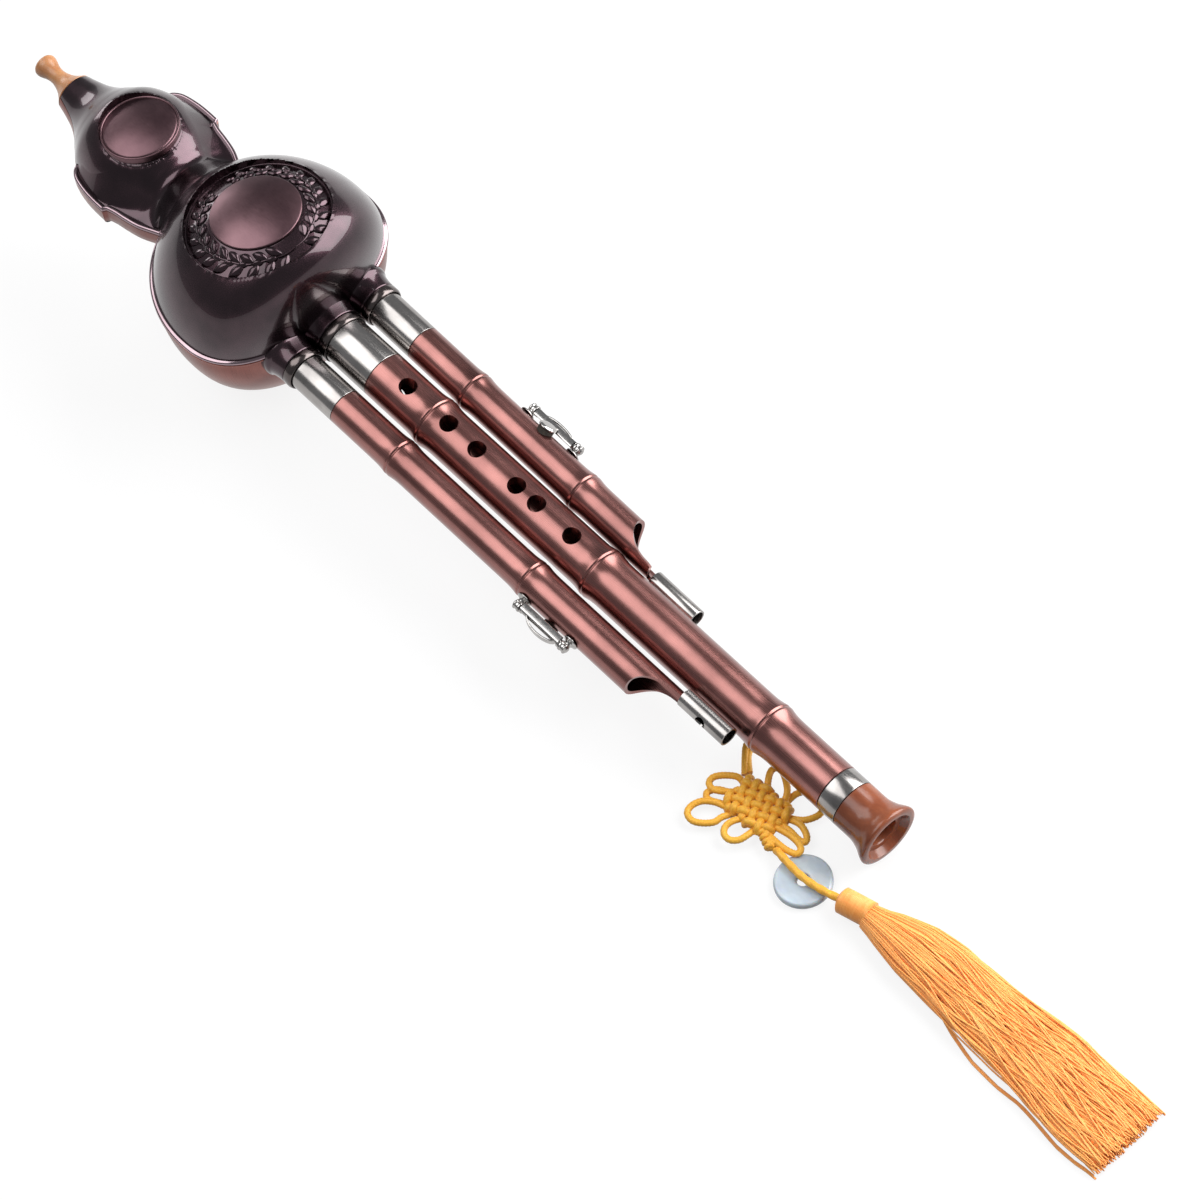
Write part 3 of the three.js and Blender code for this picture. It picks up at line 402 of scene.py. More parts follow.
# Nickel sockets and tubes with fine drawing lines
nickel_metal = metal("nickel_drawn", "#8E8A88", "#BAB6B3", 0.2, (0.05, 300.0, 1.0), 0.01, lined="#C8C8C8")
# Blackened nickel of the collars at the gourd's base
black_nickel = metal("nickel_blackened", "#4B4342", "#6A605E", 0.2, (0.4, 90.0, 1.0), 0.006, coat=0.5)
# Bright plated keys
key_metal = metal("nickel_key_plated", "#A09D9B", "#C9C6C3", 0.16, (900.0, 900.0, 900.0), 0.01, source="Object")
# Reed brass inside the gourd
brass_metal = metal("brass_reed_rolled", "#8F6E30", "#B8924A", 0.3, (900.0, 9000.0, 900.0), 0.01, source="Object")


def plastic(name, dark, light, rough, subsurface, swirl):
    """A moulded resin: slow colour swirls, a little light through its skin, and faint mould waviness."""
    material, tree, shader = start(name)
    cloud = stretched(tree, swirl, "Object", 4.0, 0.6)
    colour = ramp(tree, cloud.outputs["Fac"], [(0.3, dark), (0.7, light)])
    grain = stretched(tree, (1500, 1500, 1500), "Object", 2.0)
    bump = node(tree, "ShaderNodeBump", {"Strength": 0.2, "Distance": 0.02 * MM}, Height=grain.outputs["Fac"])
    tree.links.new(colour.outputs[0], shader.inputs["Base Color"])
    tree.links.new(bump.outputs[0], shader.inputs["Normal"])
    tree.links.new(spread(tree, grain.outputs["Fac"], 0.3, 0.7, rough * 0.85, rough * 1.2).outputs[0],
                   shader.inputs["Roughness"])
    shader.inputs["Subsurface Weight"].default_value = subsurface
    shader.inputs["Subsurface Radius"].default_value = (0.004, 0.002, 0.001)
    shader.inputs["Subsurface Scale"].default_value = 0.5
    return material


# Pale amber resin of the mouthpiece
amber = plastic("resin_mouthpiece_moulded", "#9C6844", "#BC875C", 0.3, 0.15, (120, 120, 120))
# Dark honey resin of the bell
resin = plastic("resin_bell_moulded", "#66321F", "#8C4E32", 0.2, 0.1, (60, 140, 60))
# Pale blue-grey jade, waxy, with cloudy veins
jade = plastic("jade_disc_polished", "#AEBAC5", "#C6D1D9", 0.22, 0.45, (90, 160, 90))
# Cork of the mouthpiece joint and felt of the key pads
cork = plastic("cork_joint_cut", "#8F6236", "#C39A66", 0.85, 0.0, (900, 900, 900))
felt = plastic("felt_pad_pressed", "#2A2622", "#4A443C", 0.95, 0.0, (1500, 1500, 1500))


def yarn(name, dark, light, deep, along, around, rough, sheen):
    """Silk-like fibre: fine threads run along the piece, lighter and darker at random, with slow patches of a deeper
    tone.
    """
    material, tree, shader = start(name)
    fibre = stretched(tree, (along, around, 1), "UV", 3.0, 0.65)
    colour = ramp(tree, fibre.outputs["Fac"], [(0.25, dark), (0.7, light)])
    cloud = stretched(tree, (70, 70, 70), "Object", 2.0)
    tone = node(tree, "ShaderNodeMix", {"data_type": "RGBA", "blend_type": "MULTIPLY"},
                _0=spread(tree, cloud.outputs["Fac"], 0.35, 0.7, 0.0, 0.3).outputs[0],
                _6=colour.outputs[0])
    tone.inputs[7].default_value = rgb(deep)
    bump = node(tree, "ShaderNodeBump", {"Strength": 0.6, "Distance": 0.08 * MM}, Height=fibre.outputs["Fac"])
    tree.links.new(tone.outputs[2], shader.inputs["Base Color"])
    tree.links.new(bump.outputs[0], shader.inputs["Normal"])
    shader.inputs["Roughness"].default_value = rough
    shader.inputs["Sheen Weight"].default_value = sheen
    shader.inputs["Sheen Roughness"].default_value = 0.4
    return material


# Golden rayon cord of the knot
cord_yarn = yarn("rayon_cord_laid", "#DE9114", "#FFCB4A", "#FFDC98", 2.2, 26.0, 0.5, 0.3)
# Orange viscose threads of the tassel
silk = yarn("viscose_thread_spun", "#F4963A", "#FFBA68", "#FFC088", 1.5, 6.0, 0.45, 0.25)

# The CAD's own solids that stay in sight, by a part of their names
CARRIED_OVER = {"_key_pad": felt, "_key_rod": key_metal, "mouthpiece_cork": cork, "_reed": brass_metal}
for cad_node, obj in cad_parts.items():
    for word, finish in CARRIED_OVER.items():
        if word in cad_node:
            obj.data.materials.clear()
            obj.data.materials.append(finish)


# ---- Gourd ----
UPPER = [(0, 0.32), (0.08, 0.375), (0.16, 0.445), (0.24, 0.56), (0.32, 0.72), (0.42, 0.9), (0.565, 1),
         (0.7, 0.955), (0.82, 0.85), (0.92, 0.715), (1, 0.665)]
EARS = [(0, 0.8), (0.03, 0.87), (0.1, 0.94), (0.23, 0.985), (0.35, 1), (0.477, 1), (0.495, 0.948),
        (0.57, 0.915), (0.665, 0.89), (0.8, 0.84), (0.93, 0.75), (1, 0.7)]
EAR_X, EAR_LENGTH, EAR_REACH, CUSP = -139.5, 44.0, 27.0, 5


def upper_outline():
    """The neck and the small lobe, from the mouth end to where the big lobe's ball begins."""
    points = [(NECK_X + a * UPPER_LENGTH, r * UPPER_R) for a, r in UPPER]
    points.append((LOBE_X - LOBE_R * math.cos(LOBE_START), LOBE_R * math.sin(LOBE_START)))
    return spline(points, 14)


def smoothstep(x, low, high):
    """0 below low, 1 above high, and 3 t^2 - 2 t^3 between them."""
    t = np.clip((x - low) / (high - low), 0, 1)
    return t * t * (3 - 2 * t)


def gourd_at(t, f, shrink=0.0):
    """The gourd's skin. t below 1 runs along the upper outline, above 1 round the ball to its base.
    f is the angle from +Y towards +Z. The base side is a superellipse whose power grows in front, and the
    front leans towards the bell."""
    line = upper_outline()
    place_on = np.clip(t, 0, 1) * (len(line) - 1)
    x = np.interp(place_on, np.arange(len(line)), line[:, 0])
    out = np.interp(place_on, np.arange(len(line)), line[:, 1]) - shrink
    angle = LOBE_START + (math.pi - LOBE_START) * np.clip(t - 1, 0, 1)
    radius = LOBE_R - shrink
    x = np.where(t > 1, LOBE_X - radius * np.cos(angle), x)
    out = np.where(t > 1, radius * np.sin(angle), out)
    front = np.maximum(np.sin(f), 0)
    power = 2 / (BASE_POWER + FRONT_POWER * front ** 2)
    to_base = math.pi - angle
    base = (t > 1) & (angle > math.pi / 2)
    x = np.where(base, LOBE_X + (BASE_REACH - shrink) * np.abs(np.cos(to_base)) ** power, x)
    out = np.where(base, radius * np.abs(np.sin(to_base)) ** power, out)
    y, z = out * np.cos(f), out * np.sin(f)
    x = x + FRONT_LEAN * np.maximum(z - SEAM, 0) * smoothstep(x, LOBE_X - LOBE_R, LOBE_X)
    return np.stack([x, y, z], -1)


def seam_angle(t, height):
    """The angle at which the skin crosses a height, found by repeated correction."""
    f = np.zeros_like(t)
    for _ in range(12):
        out = np.hypot(*np.moveaxis(gourd_at(t, f)[..., 1:], -1, 0))
        f = np.arcsin(np.clip(height / np.maximum(out, 1e-6), -1, 1))
    return f


MEDALS = {
    "upper": {"radius": 14.5, "at": (-126.5, 19.4), "tilt": 8.0, "rise": 2.6},
    "lower": {"radius": 26.5, "at": (-60.2, 31.0), "tilt": 10.0, "rise": 8},
}


def medal_frame(medal):
    """Normal, two directions in its plane and the middle of a medallion."""
    lean = math.radians(medal["tilt"])
    normal = np.array([-math.sin(lean), 0, math.cos(lean)])
    ahead = np.array([math.cos(lean), 0, math.sin(lean)])
    return normal, ahead, np.array([0.0, 1, 0]), np.array([medal["at"][0], 0, medal["at"][1]])


SEAT_DEPTH, SEAT_GAP, SEAT_PULL = 1.5, 0.12, 0.45


def sunk(points):
    """Presses the skin under each medallion down into a seat, with its edge on the medallion's circle: what lies
    within SEAT_PULL of the edge is drawn onto it, and what lies inside goes down to SEAT_DEPTH."""
    p = points.copy()
    for medal in MEDALS.values():
        normal, ahead, across, middle = medal_frame(medal)
        d = p - middle
        height, a, b = d @ normal, d @ ahead, d @ across
        r = np.hypot(a, b)
        edge = medal["radius"] + SEAT_GAP
        near = (np.abs(r - edge) < SEAT_PULL) & (height > -8)
        scale = np.where(near, edge / np.maximum(r, 1e-6), 1)
        p = p + (scale - 1)[..., None] * (a[..., None] * ahead + b[..., None] * across)
        inside = (r < edge - SEAT_PULL) & (height > -SEAT_DEPTH)
        p = p - np.where(inside, height + SEAT_DEPTH, 0)[..., None] * normal
    return p


WALL, SEAM_GAP, SEAT_ROOM, OPENING_GAP = 2.0, 0.3, 2.2, 0.3


def half_shell(front):
    """One half of the gourd: the skin from the seam over to the seam, with a wall inside it and openings at the
    base where the three sockets go in."""
    t = np.concatenate([np.linspace(0, 0.3, 24, endpoint=False), np.linspace(0.3, 1, 110, endpoint=False),
                        np.linspace(1, 2, 190)])
    level = SEAM if front else SEAM - SEAM_GAP
    first = seam_angle(t, level)[:, None]
    share = np.linspace(0, 1, 139)
    f = first + (math.pi - 2 * first) * share if front else first - (math.pi + 2 * first) * share
    tt = np.repeat(t[:, None], len(share), 1)
    outer, inner = gourd_at(tt, f), gourd_at(tt, f, WALL)
    if front:
        outer = sunk(outer)
        inner[..., 2] -= SEAT_ROOM * smoothstep(inner[..., 2], 8, 16)
        outer[..., 2] = np.maximum(outer[..., 2], SEAM)
        inner[..., 2] = np.maximum(inner[..., 2], SEAM)
    else:
        world = outer @ LAID.T + LAID_AT
        world[..., 2] = np.maximum(world[..., 2], 0)
        outer = (world - LAID_AT) @ LAID
        inner[..., 2] = np.minimum(inner[..., 2], level)
    flat = outer.reshape(-1, 3)
    in_socket = np.zeros(len(flat), bool)
    for y, radius in ((0, MAIN_R), (-SPACING, DRONE_R), (SPACING, DRONE_R)):
        in_socket |= (np.hypot(flat[:, 1] - y, flat[:, 2]) < radius + OPENING_GAP) & (flat[:, 0] > LOBE_X)
    along = travelled(outer[:, len(share) // 2])
    return walled(skin(outer, u=along, v=share, keep=lambda quads, steps: ~np.all(in_socket[quads], axis=1)), inner)


def lobe_rim():
    """The big lobe's outline at the seam."""
    a = np.linspace(0, TURN, 240, endpoint=False)
    c, s = np.cos(a), np.sin(a)
    power = 2 / BASE_POWER
    x = np.where(c > 0, BASE_REACH * np.abs(c) ** power, LOBE_R * c)
    y = np.where(c > 0, LOBE_R * np.abs(s) ** power, LOBE_R * np.abs(s)) * np.sign(s)
    return np.stack([LOBE_X + x, y], 1)


def carried(line, section, mat=0):
    """A closed section of (out, height) points carried along a line in the seam plane that runs anticlockwise."""
    ahead = np.roll(line, -1, 0) - np.roll(line, 1, 0)
    ahead[0], ahead[-1] = line[1] - line[0], line[-1] - line[-2]
    ahead = unit(ahead)
    normal = np.stack([ahead[:, 1], -ahead[:, 0]], 1)
    section = np.asarray(section, float)
    points = capped(np.concatenate([
        line[:, None] + section[None, :, :1] * normal[:, None],
        np.repeat(section[None, :, 1:] + SEAM, len(line), 0),
    ], -1))
    length = travelled(points[:, 0])
    return skin(points, u=np.append(length, length[-1]), wrap_v=True, mat=mat)


FRONT_LIP = [(-1.6, 0), (0.55, 0), (0.85, 0.12), (1.0, 0.4), (0.98, 0.75), (0.8, 1.05), (0.45, 1.22), (0, 1.3),
             (-0.4, 1.45), (-0.9, 2.2), (-1.6, 2.2)]
BACK_LIP = [(-1.6, -0.3), (0.5, -0.3), (0.85, -0.42), (0.95, -0.7), (0.85, -1.1), (0.45, -1.6), (0, -2.4),
            (-1.6, -4)]
EAR_FRONT_LIP = np.array([(0, 0), (0, 0.35), (-0.12, 0.75), (-0.4, 1.05), (-0.8, 1.15), (-1.3, 1.05), (-1.7, 0.8)])
EAR_LIP = [(-0.8, 0), (0.02, 0), (0.06, 0.4), (-0.05, 0.85), (-0.35, 1.14), (-0.8, 1.25), (-1.1, 1.15)]
EAR_BACK = [(-7, -0.3), (-0.25, -0.3), (0, -0.55), (-0.1, -4), (-0.5, -7.2), (-1.2, -8.6), (-2.4, -9.4), (-7, -10)]
# Where an ear's front meets the small lobe, from +Y towards +Z, and its ledge's width and height over the seam
EAR_FOOT, LEDGE, LEDGE_UP = math.radians(38), 2.0, 0.75


def ear_line():
    """The outline of the ear on the +Y side: two smooth stretches that meet in a cusp."""
    p = np.array([(EAR_X + a * EAR_LENGTH, r * EAR_REACH) for a, r in EARS])
    return np.concatenate([spline(p[:CUSP + 1]), spline(p[CUSP + 1:])])


def ear_front(side):
    """The front of an ear: a polished lip, a flat ledge and a hollow curve up onto the small lobe."""
    line = ear_line()
    line = np.concatenate([[[line[0, 0] - 0.4, line[0, 1] - 1.2]], line, [[line[-1, 0] + 0.4, line[-1, 1] - 1.2]]])
    body = upper_outline()
    out = np.interp(line[:, 0], body[:, 0], body[:, 1])
    foot = np.stack([out * math.cos(EAR_FOOT), out * math.sin(EAR_FOOT)], 1)
    ledge, level = line[:, 1] - LEDGE, SEAM + LEDGE_UP
    down = (foot[:, 1] - level) / math.cos(EAR_FOOT)
    corner = np.minimum(foot[:, 0] + down * math.sin(EAR_FOOT), ledge)
    rows = [(line[:, 1] + dy, np.full(len(line), SEAM + dz)) for dy, dz in EAR_FRONT_LIP]
    rows += [(bent(ledge, corner, foot[:, 0], t), bent(level, level, foot[:, 1], t)) for t in np.linspace(0, 1, 16)]
    rows += [(foot[:, 0] - 3, foot[:, 1] - 3), (foot[:, 0] - 3, np.full(len(line), SEAM))]
    points = capped(np.stack([np.stack([line[:, 0], side * y, z], 1) for y, z in rows], 1))
    return skin(points, u=np.arange(len(points) + 1) * 0.5, wrap_v=True)


def ear_edges(section, mat=0):
    """A section carried along both ears' edges, as their bright lip or as the wall that rounds in under them."""
    line = ear_line()
    return [carried(line[::-1], section, mat), carried(line * [1, -1], section, mat)]


# The seam's lip runs round the big lobe and leaves the base open for the sockets
around = lobe_rim()
beside_sockets = (around[:, 0] < LOBE_X) | (np.abs(around[:, 1]) > SPACING + DRONE_R - 1.5)
ball_line = np.roll(around, -np.argmax(beside_sockets), axis=0)[:beside_sockets.sum()]
front_parts = [half_shell(True), carried(ball_line, FRONT_LIP, 1), ear_front(1), ear_front(-1)]
piece("front_shell", front_parts + ear_edges(EAR_LIP, 1), "gourd", ["gourd_front_shell"], [front_metal, lip_metal],
      sharp=42)
piece("back_shell", [half_shell(False), carried(ball_line, BACK_LIP)] + ear_edges(EAR_BACK), "gourd",
      ["gourd_back_shell"], [back_metal], sharp=42)


# ---- Medallions ----
def cap_height(medal, r):
    """Height over a medallion's plane of a cap cut from a ball: sqrt(ball^2 - r^2) - ball + rise, where the
    ball's radius is (radius^2 + rise^2) / (2 rise)."""
    radius, rise = medal["radius"], medal["rise"]
    ball = (radius ** 2 + rise ** 2) / (2 * rise)
    return np.sqrt(ball ** 2 - r ** 2) - ball + rise


def dome(medal, from_r, to_r, steps):
    """The cap's profile from one radius to another."""
    r = np.linspace(from_r, to_r, steps)
    return np.stack([cap_height(medal, r), r], 1)


def on_medal(medal):
    """Lays turned points, whose axis is X, on a medallion's plane."""
    normal, ahead, across, middle = medal_frame(medal)
    return lambda p: (p[..., :1] * normal + p[..., 2:3] * ahead + p[..., 1:2] * across) + middle


# A medallion's profile: its back at -2, a rolled rim, and the dome. The lower one's band lies BAND_DEPTH under its
# dome and its boss as much over it.
BOSS_R, BAND_DEPTH = 16.4, 0.45
upper, lower = MEDALS["upper"], MEDALS["lower"]
band = dome(lower, 25.6, BOSS_R, 24) - [BAND_DEPTH, 0]
cap = dome(lower, BOSS_R - 0.35, 0, 30) + [BAND_DEPTH, 0]
band_end, cap_start = band[-1, 0], cap[0, 0]
profiles = {
    "upper_medal": ([(-2, 0.0), (-2, 14.5), (0.2, 14.5), (0.42, 14.35), (0.5, 14.05), (0.42, 13.75), (0.15, 13.55)],
                    dome(upper, 13.4, 0.0, 30)),
    "lower_medal_plate": ([(-2, 0.0), (-2, 26.5), (0.3, 26.5), (0.52, 26.35), (0.6, 26.05), (0.52, 25.75),
                           (band[0, 0], 25.62)], band, [(band_end - 0.2, BOSS_R - 1), (band_end - 0.2, 0)]),
    "lower_medal_boss": ([(band_end + 0.1, 0.0), (band_end + 0.1, BOSS_R), (cap_start - 0.35, BOSS_R),
                          (cap_start - 0.1, BOSS_R - 0.1)], cap),
}
for name, medal, cad_node, sides, finish in (
        ("upper_medal", upper, "upper_medallion", 128, boss_metal),
        ("lower_medal_plate", lower, "lower_medallion_plate", 160, front_metal),
        ("lower_medal_boss", lower, "lower_medallion_boss", 128, boss_metal)):
    turned = lathe(np.concatenate(profiles[name]), sides, closed=False, move=on_medal(medal))
    piece(name, [turned], "gourd", [cad_node], [finish], sharp=50)

# Three rows of laurel leaves: their radius on the band, their turn from it and their length
LEAVES = [(21.6, -0.62, 7.0), (20.6, 0.66, 6.2), (21.1, 0.05, 4.6)]
LEAF_STEPS, LEAF_SPACING, WREATH_END = 11, 0.25, 2.85


def wreath():
    """Laurel leaves along two arcs that start at the base side: each leaf is a pointed lens, half width
    w sin(pi u)^0.8 at share u of its length, ridged in the middle, laid on the band's dome."""
    uu, vv = np.meshgrid(np.linspace(0, 1, 13), np.linspace(-1, 1, 9), indexing="ij")
    width = np.sin(math.pi * uu) ** 0.8
    parts = []
    lay = on_medal(lower)
    for side in (-1, 1):
        for k in range(LEAF_STEPS):
            for row, (radius, leaf_turn, size) in enumerate(LEAVES):
                spot = 0.16 + k * LEAF_SPACING + row * 0.085
                if spot > WREATH_END:
                    continue
                length = size * (1 - 0.2 * k / LEAF_STEPS)
                heading = spot + math.pi / 2 + leaf_turn + 0.1 * math.sin(5 * k + row)
                c, s = math.cos(heading), math.sin(heading)
                ahead, aside = uu * length, vv * width * length * 0.24
                x = radius * math.cos(spot) + c * ahead - s * aside
                y = radius * math.sin(spot) + s * ahead + c * aside
                base = cap_height(lower, np.minimum(np.hypot(x, y), 26)) - BAND_DEPTH
                top = base + (0.15 + 0.75 * (1 - np.abs(vv)) ** 0.7) * width ** 0.5 + 0.25 * np.sin(math.pi * uu)
                leaf, under = (np.stack([z, side * y, x], -1) for z in (top, base - 0.4))
                parts.append(walled(skin(lay(leaf)), lay(under)))
        spots = np.linspace(0.02, 2.8, 70)
        stem_r = 21.0 + 0.25 * np.sin(spots * 9)
        height = cap_height(lower, stem_r) - BAND_DEPTH + 0.3
        line = np.stack([height, side * stem_r * np.sin(spots), stem_r * np.cos(spots)], 1)
        parts.append(rope(lay(line), 0.9, strands=2, lay=9, sides=8, step=1.0))
    return parts


piece("lower_medal_wreath", wreath(), "gourd", [], [front_metal], sharp=50)


# ---- Pipes ----
MAIN_SWELL, DRONE_SWELL, SWELL_HALF, GROOVE_DEPTH, GROOVE_HALF = 0.8, 0.6, 3.1, 0.42, 0.42
# Where a pipe's own skin starts, how far its sharp ends are drawn in, and the ends of the tenons in the sockets
PIPE_START, END_CUT, TENON_START, TENON_END = 0.15, 0.25, -26, 0.6
# Half the length and the number of grid lines round a node, and at its groove
NODE_LINES = [(8, 41), (1.2, 17)]


def swell(x, nodes, height):
    """Outer growth of a bamboo-like pipe at distance d from a node: height exp(-|d / SWELL_HALF|^1.7), less the
    groove, GROOVE_DEPTH exp(-(d / GROOVE_HALF)^2)."""
    out = np.zeros_like(x)
    for n in nodes:
        d = x - n
        out += height * np.exp(-np.abs(d / SWELL_HALF) ** 1.7) - GROOVE_DEPTH * np.exp(-(d / GROOVE_HALF) ** 2)
    return out


def lines_along(nodes, end, more=()):
    """Grid lines along a pipe: 3 mm apart, closer round the nodes and closest at their grooves."""
    x = [np.linspace(n - half, n + half, count) for half, count in NODE_LINES for n in nodes]
    x = np.unique(np.round(np.concatenate([*x, np.arange(0.3, end, 3.0), [PIPE_START, end], *more]), 3))
    return x[(x >= PIPE_START) & (x <= end)]


def pierced(x, arc, holes):
    """Moves grid lines so that a square ring of them round each hole becomes the hole's circle. A hole is its
    place along, its place round, its radius, and how far the moved lines reach."""
    xx, aa = np.meshgrid(x, arc, indexing="ij")
    px, pa = xx.copy(), aa.copy()
    for hx, ha, radius, room in holes:
        dx, da = xx - hx, aa - ha
        ring, far = np.maximum(np.abs(dx), np.abs(da)), np.maximum(np.hypot(dx, da), 1e-9)
        w = smoothstep(ring, radius, room)
        near = ring < room
        px = np.where(near, hx + dx * ring / far * (1 - w) + dx * w, px)
        pa = np.where(near, ha + da * ring / far * (1 - w) + da * w, pa)
    return px, pa


def outside_holes(x, arc, whole, holes, steps):
    """Which cells of a grid, whose lines round the pipe end at whole, have their middle outside every hole."""
    a, b = steps[:, 0, 0], steps[:, 0, 1]
    mx, ma = (x[a] + x[a + 1]) / 2, (arc[b] + np.append(arc, whole)[b + 1]) / 2
    return np.all([np.maximum(np.abs(mx - hx), np.abs(ma - ha)) >= radius for hx, ha, radius, _ in holes], axis=0)


MAIN_NODES = [27, 110.5, 193]
HOLES = [13.8, 34.7, 49, 69.1, 79.1, 96.7]
HOLE_R, THUMB_X, CORD_X, CORD_Y, CORD_R = 3.35, 6.0, 186.5, 3.6, 1.6
# How far the grid gives way round a finger hole, in steps, and round a cord hole; the least gap of its lines
HOLE_ROOM, CORD_ROOM, LEAST_GAP = (3.9, 4.5, 5.2), 2.2, 0.12
PIPE_END, MAIN_TENON_R = 224.3, 7.7


def main_pipe():
    """The melody pipe: a swollen tube with six finger holes in front, and a thumb hole and two cord holes behind."""
    half_turn = math.pi * MAIN_R
    cord_arc = math.asin(CORD_Y / MAIN_R) * MAIN_R
    whole = TURN * MAIN_R
    room = HOLE_ROOM[-1]
    front = np.array([0, 0.67, 1.34, 2.01, 2.68, HOLE_R, *HOLE_ROOM, 6.0])
    back_lines = np.array([0, 0.9, cord_arc - CORD_R, cord_arc - CORD_R / 2, cord_arc, cord_arc + CORD_R / 2,
                           cord_arc + CORD_R, 6.1, 6.9])
    between = np.linspace(6.0, half_turn - 6.9, 28)[1:-1]
    positive = np.concatenate([front, between, half_turn - back_lines[::-1]])
    arc = np.concatenate([positive, whole - positive[-2:0:-1]])
    holes = [(h, place_round, HOLE_R, room) for place_round in (0, whole) for h in HOLES]
    holes += [(THUMB_X, half_turn, HOLE_R, room)]
    holes += [(CORD_X, half_turn + s * cord_arc, CORD_R, CORD_ROOM) for s in (-1, 1)]
    at_holes = [np.linspace(h - HOLE_R, h + HOLE_R, 11) for h in HOLES + [THUMB_X]]
    at_holes += [h + side * np.array(HOLE_ROOM) for side in (-1, 1) for h in HOLES + [THUMB_X]]
    at_holes += [np.linspace(CORD_X - CORD_R, CORD_X + CORD_R, 7), [PIPE_END - 0.2]]
    x = lines_along(MAIN_NODES, PIPE_END, at_holes)
    exact = np.round(np.concatenate([[h - HOLE_R, h + HOLE_R] for h in HOLES + [THUMB_X]]), 3)
    keep_x = np.ones(len(x), bool)
    for k in range(1, len(x) - 1):
        if x[k] - x[k - 1] < LEAST_GAP and not np.any(np.abs(exact - x[k]) < 1e-6) and keep_x[k - 1]:
            keep_x[k] = False
    x = x[keep_x]
    px, pa = pierced(x, arc, holes)
    f = pa / MAIN_R
    r = MAIN_R + swell(px, MAIN_NODES, MAIN_SWELL)
    r = r - END_CUT * (px < PIPE_START + 0.05) - END_CUT * (px > PIPE_END - 0.05)

    def at(radius):
        return np.stack([px, radius * np.sin(f), radius * np.cos(f)], -1)

    outer = skin(at(r), u=np.append(x, x[-1]), v=np.append(arc, whole) / whole, wrap_v=True,
                 keep=lambda quads, steps: outside_holes(x, arc, whole, holes, steps))
    tenon = lathe(sleeve(TENON_START, TENON_END, MAIN_BORE, MAIN_TENON_R), 64)
    seat = lathe(rounded([(223.8, MAIN_BORE), (223.8, 7.8), (232.05, 7.8), (232.05, 6.7), (226.7, 6.7),
                          (226.7, MAIN_BORE)]), 64)
    return [walled(outer, at(np.full_like(r, MAIN_BORE))), tenon, seat]


piece("main_pipe_skin", main_pipe(), "main_pipe", ["main_pipe"], [pipe_metal], sharp=40)


def beside(side):
    """Moves points from a pipe's own axis to the left (-1), middle (0) or right (1) place."""
    slope = SLOPE if side == 1 else 0.0
    c, s = math.cos(slope), math.sin(slope)
    turned = np.array([[c, s, 0], [-s, c, 0], [0, 0, 1]])
    return lambda p: p @ turned + [0, side * SPACING, 0]


DRONES = {
    "left": {"side": -1, "nodes": [29, 96], "mouth": 148.7, "scoop": 7.5, "tail": 166.2, "turn": 38.5, "key": 111,
             "out": 1, "bow": 2.8},
    "right": {"side": 1, "nodes": [27.3, 83.1], "mouth": 106.5, "scoop": 185, "tail": 123, "turn": 225, "key": 58,
              "out": -1, "bow": 1.7},
}
# The scoop's length and its top over the axis, how far the tongue's strip goes into the tail tube, and half the
# strip's angle
SCOOP, SCOOP_TOP, TONGUE_END, STRIP = 13.5, 4.2, 4.0, 0.36
# How far before the scoop the straight pipe ends, the tongue's shoulder before the tail tube, and the tenon
BEFORE_SCOOP, SHOULDER, DRONE_TENON_R, DRONE_TENON_BORE = 8, 0.8, 5.9, 4.9
TAIL_R, TAIL_WALL, TAIL_LENGTH, TAIL_REACH = 3.6, 0.6, 21.0, 6.15
# Place from the tube's start, radius, and degrees from +Y towards +Z
TAIL_HOLE = 10.7, 2.2, 170


def away_from(f, degrees):
    """How far the lathe angle f is from a direction that is turned from +Y towards +Z."""
    return np.abs((f - (math.pi / 2 - math.radians(degrees)) + math.pi) % TURN - math.pi)


def drone(name):
    """A drone: its end is cut by a quarter ellipse, length SCOOP, that climbs from the far wall to SCOOP_TOP over
    the axis. The tongue that is left runs on to the tail tube, and only a strip of it goes in."""
    d = DRONES[name]
    f = np.linspace(0, TURN, 240, endpoint=False)
    height = DRONE_R * np.cos(away_from(f, d["scoop"]))
    climbed = np.clip((height + DRONE_R) / (DRONE_R + SCOOP_TOP), 0, 1)
    cut = d["mouth"] + SCOOP * (1 - np.sqrt(1 - climbed ** 2))
    shoulder = d["tail"] - SHOULDER
    in_strip = 1 - smoothstep(away_from(f, d["turn"]), STRIP, STRIP + 0.05)
    onto = smoothstep(height, SCOOP_TOP - 0.1, SCOOP_TOP + 0.5)
    cut = np.maximum(cut, cut + (shoulder - cut) * onto)
    cut = cut + (d["tail"] + TONGUE_END - cut) * in_strip
    straight = d["mouth"] - BEFORE_SCOOP
    x = lines_along(d["nodes"], straight)
    x = x[np.insert(np.diff(x) > 0.05, 0, True)]
    body = np.repeat(x[:, None], len(f), 1)
    share = np.linspace(0, 1, 40)[1:, None]
    px = np.concatenate([body, straight + (cut[None] - straight) * share])
    r = DRONE_R + swell(px, d["nodes"], DRONE_SWELL)
    r[0] -= END_CUT
    move = beside(d["side"])

    def at(radius):
        return move(np.stack([px, radius * np.sin(f), radius * np.cos(f)], -1))

    u = np.concatenate([x, straight + (d["mouth"] - straight + 10) * share[:, 0], [d["tail"] + TONGUE_END]])
    outer = skin(at(r), u=u, v=np.linspace(0, 1, len(f) + 1), wrap_v=True)
    tenon = lathe(sleeve(TENON_START, TENON_END, DRONE_TENON_BORE, DRONE_TENON_R), 48, move=move)
    return [walled(outer, at(np.full_like(r, DRONE_BORE))), tenon]


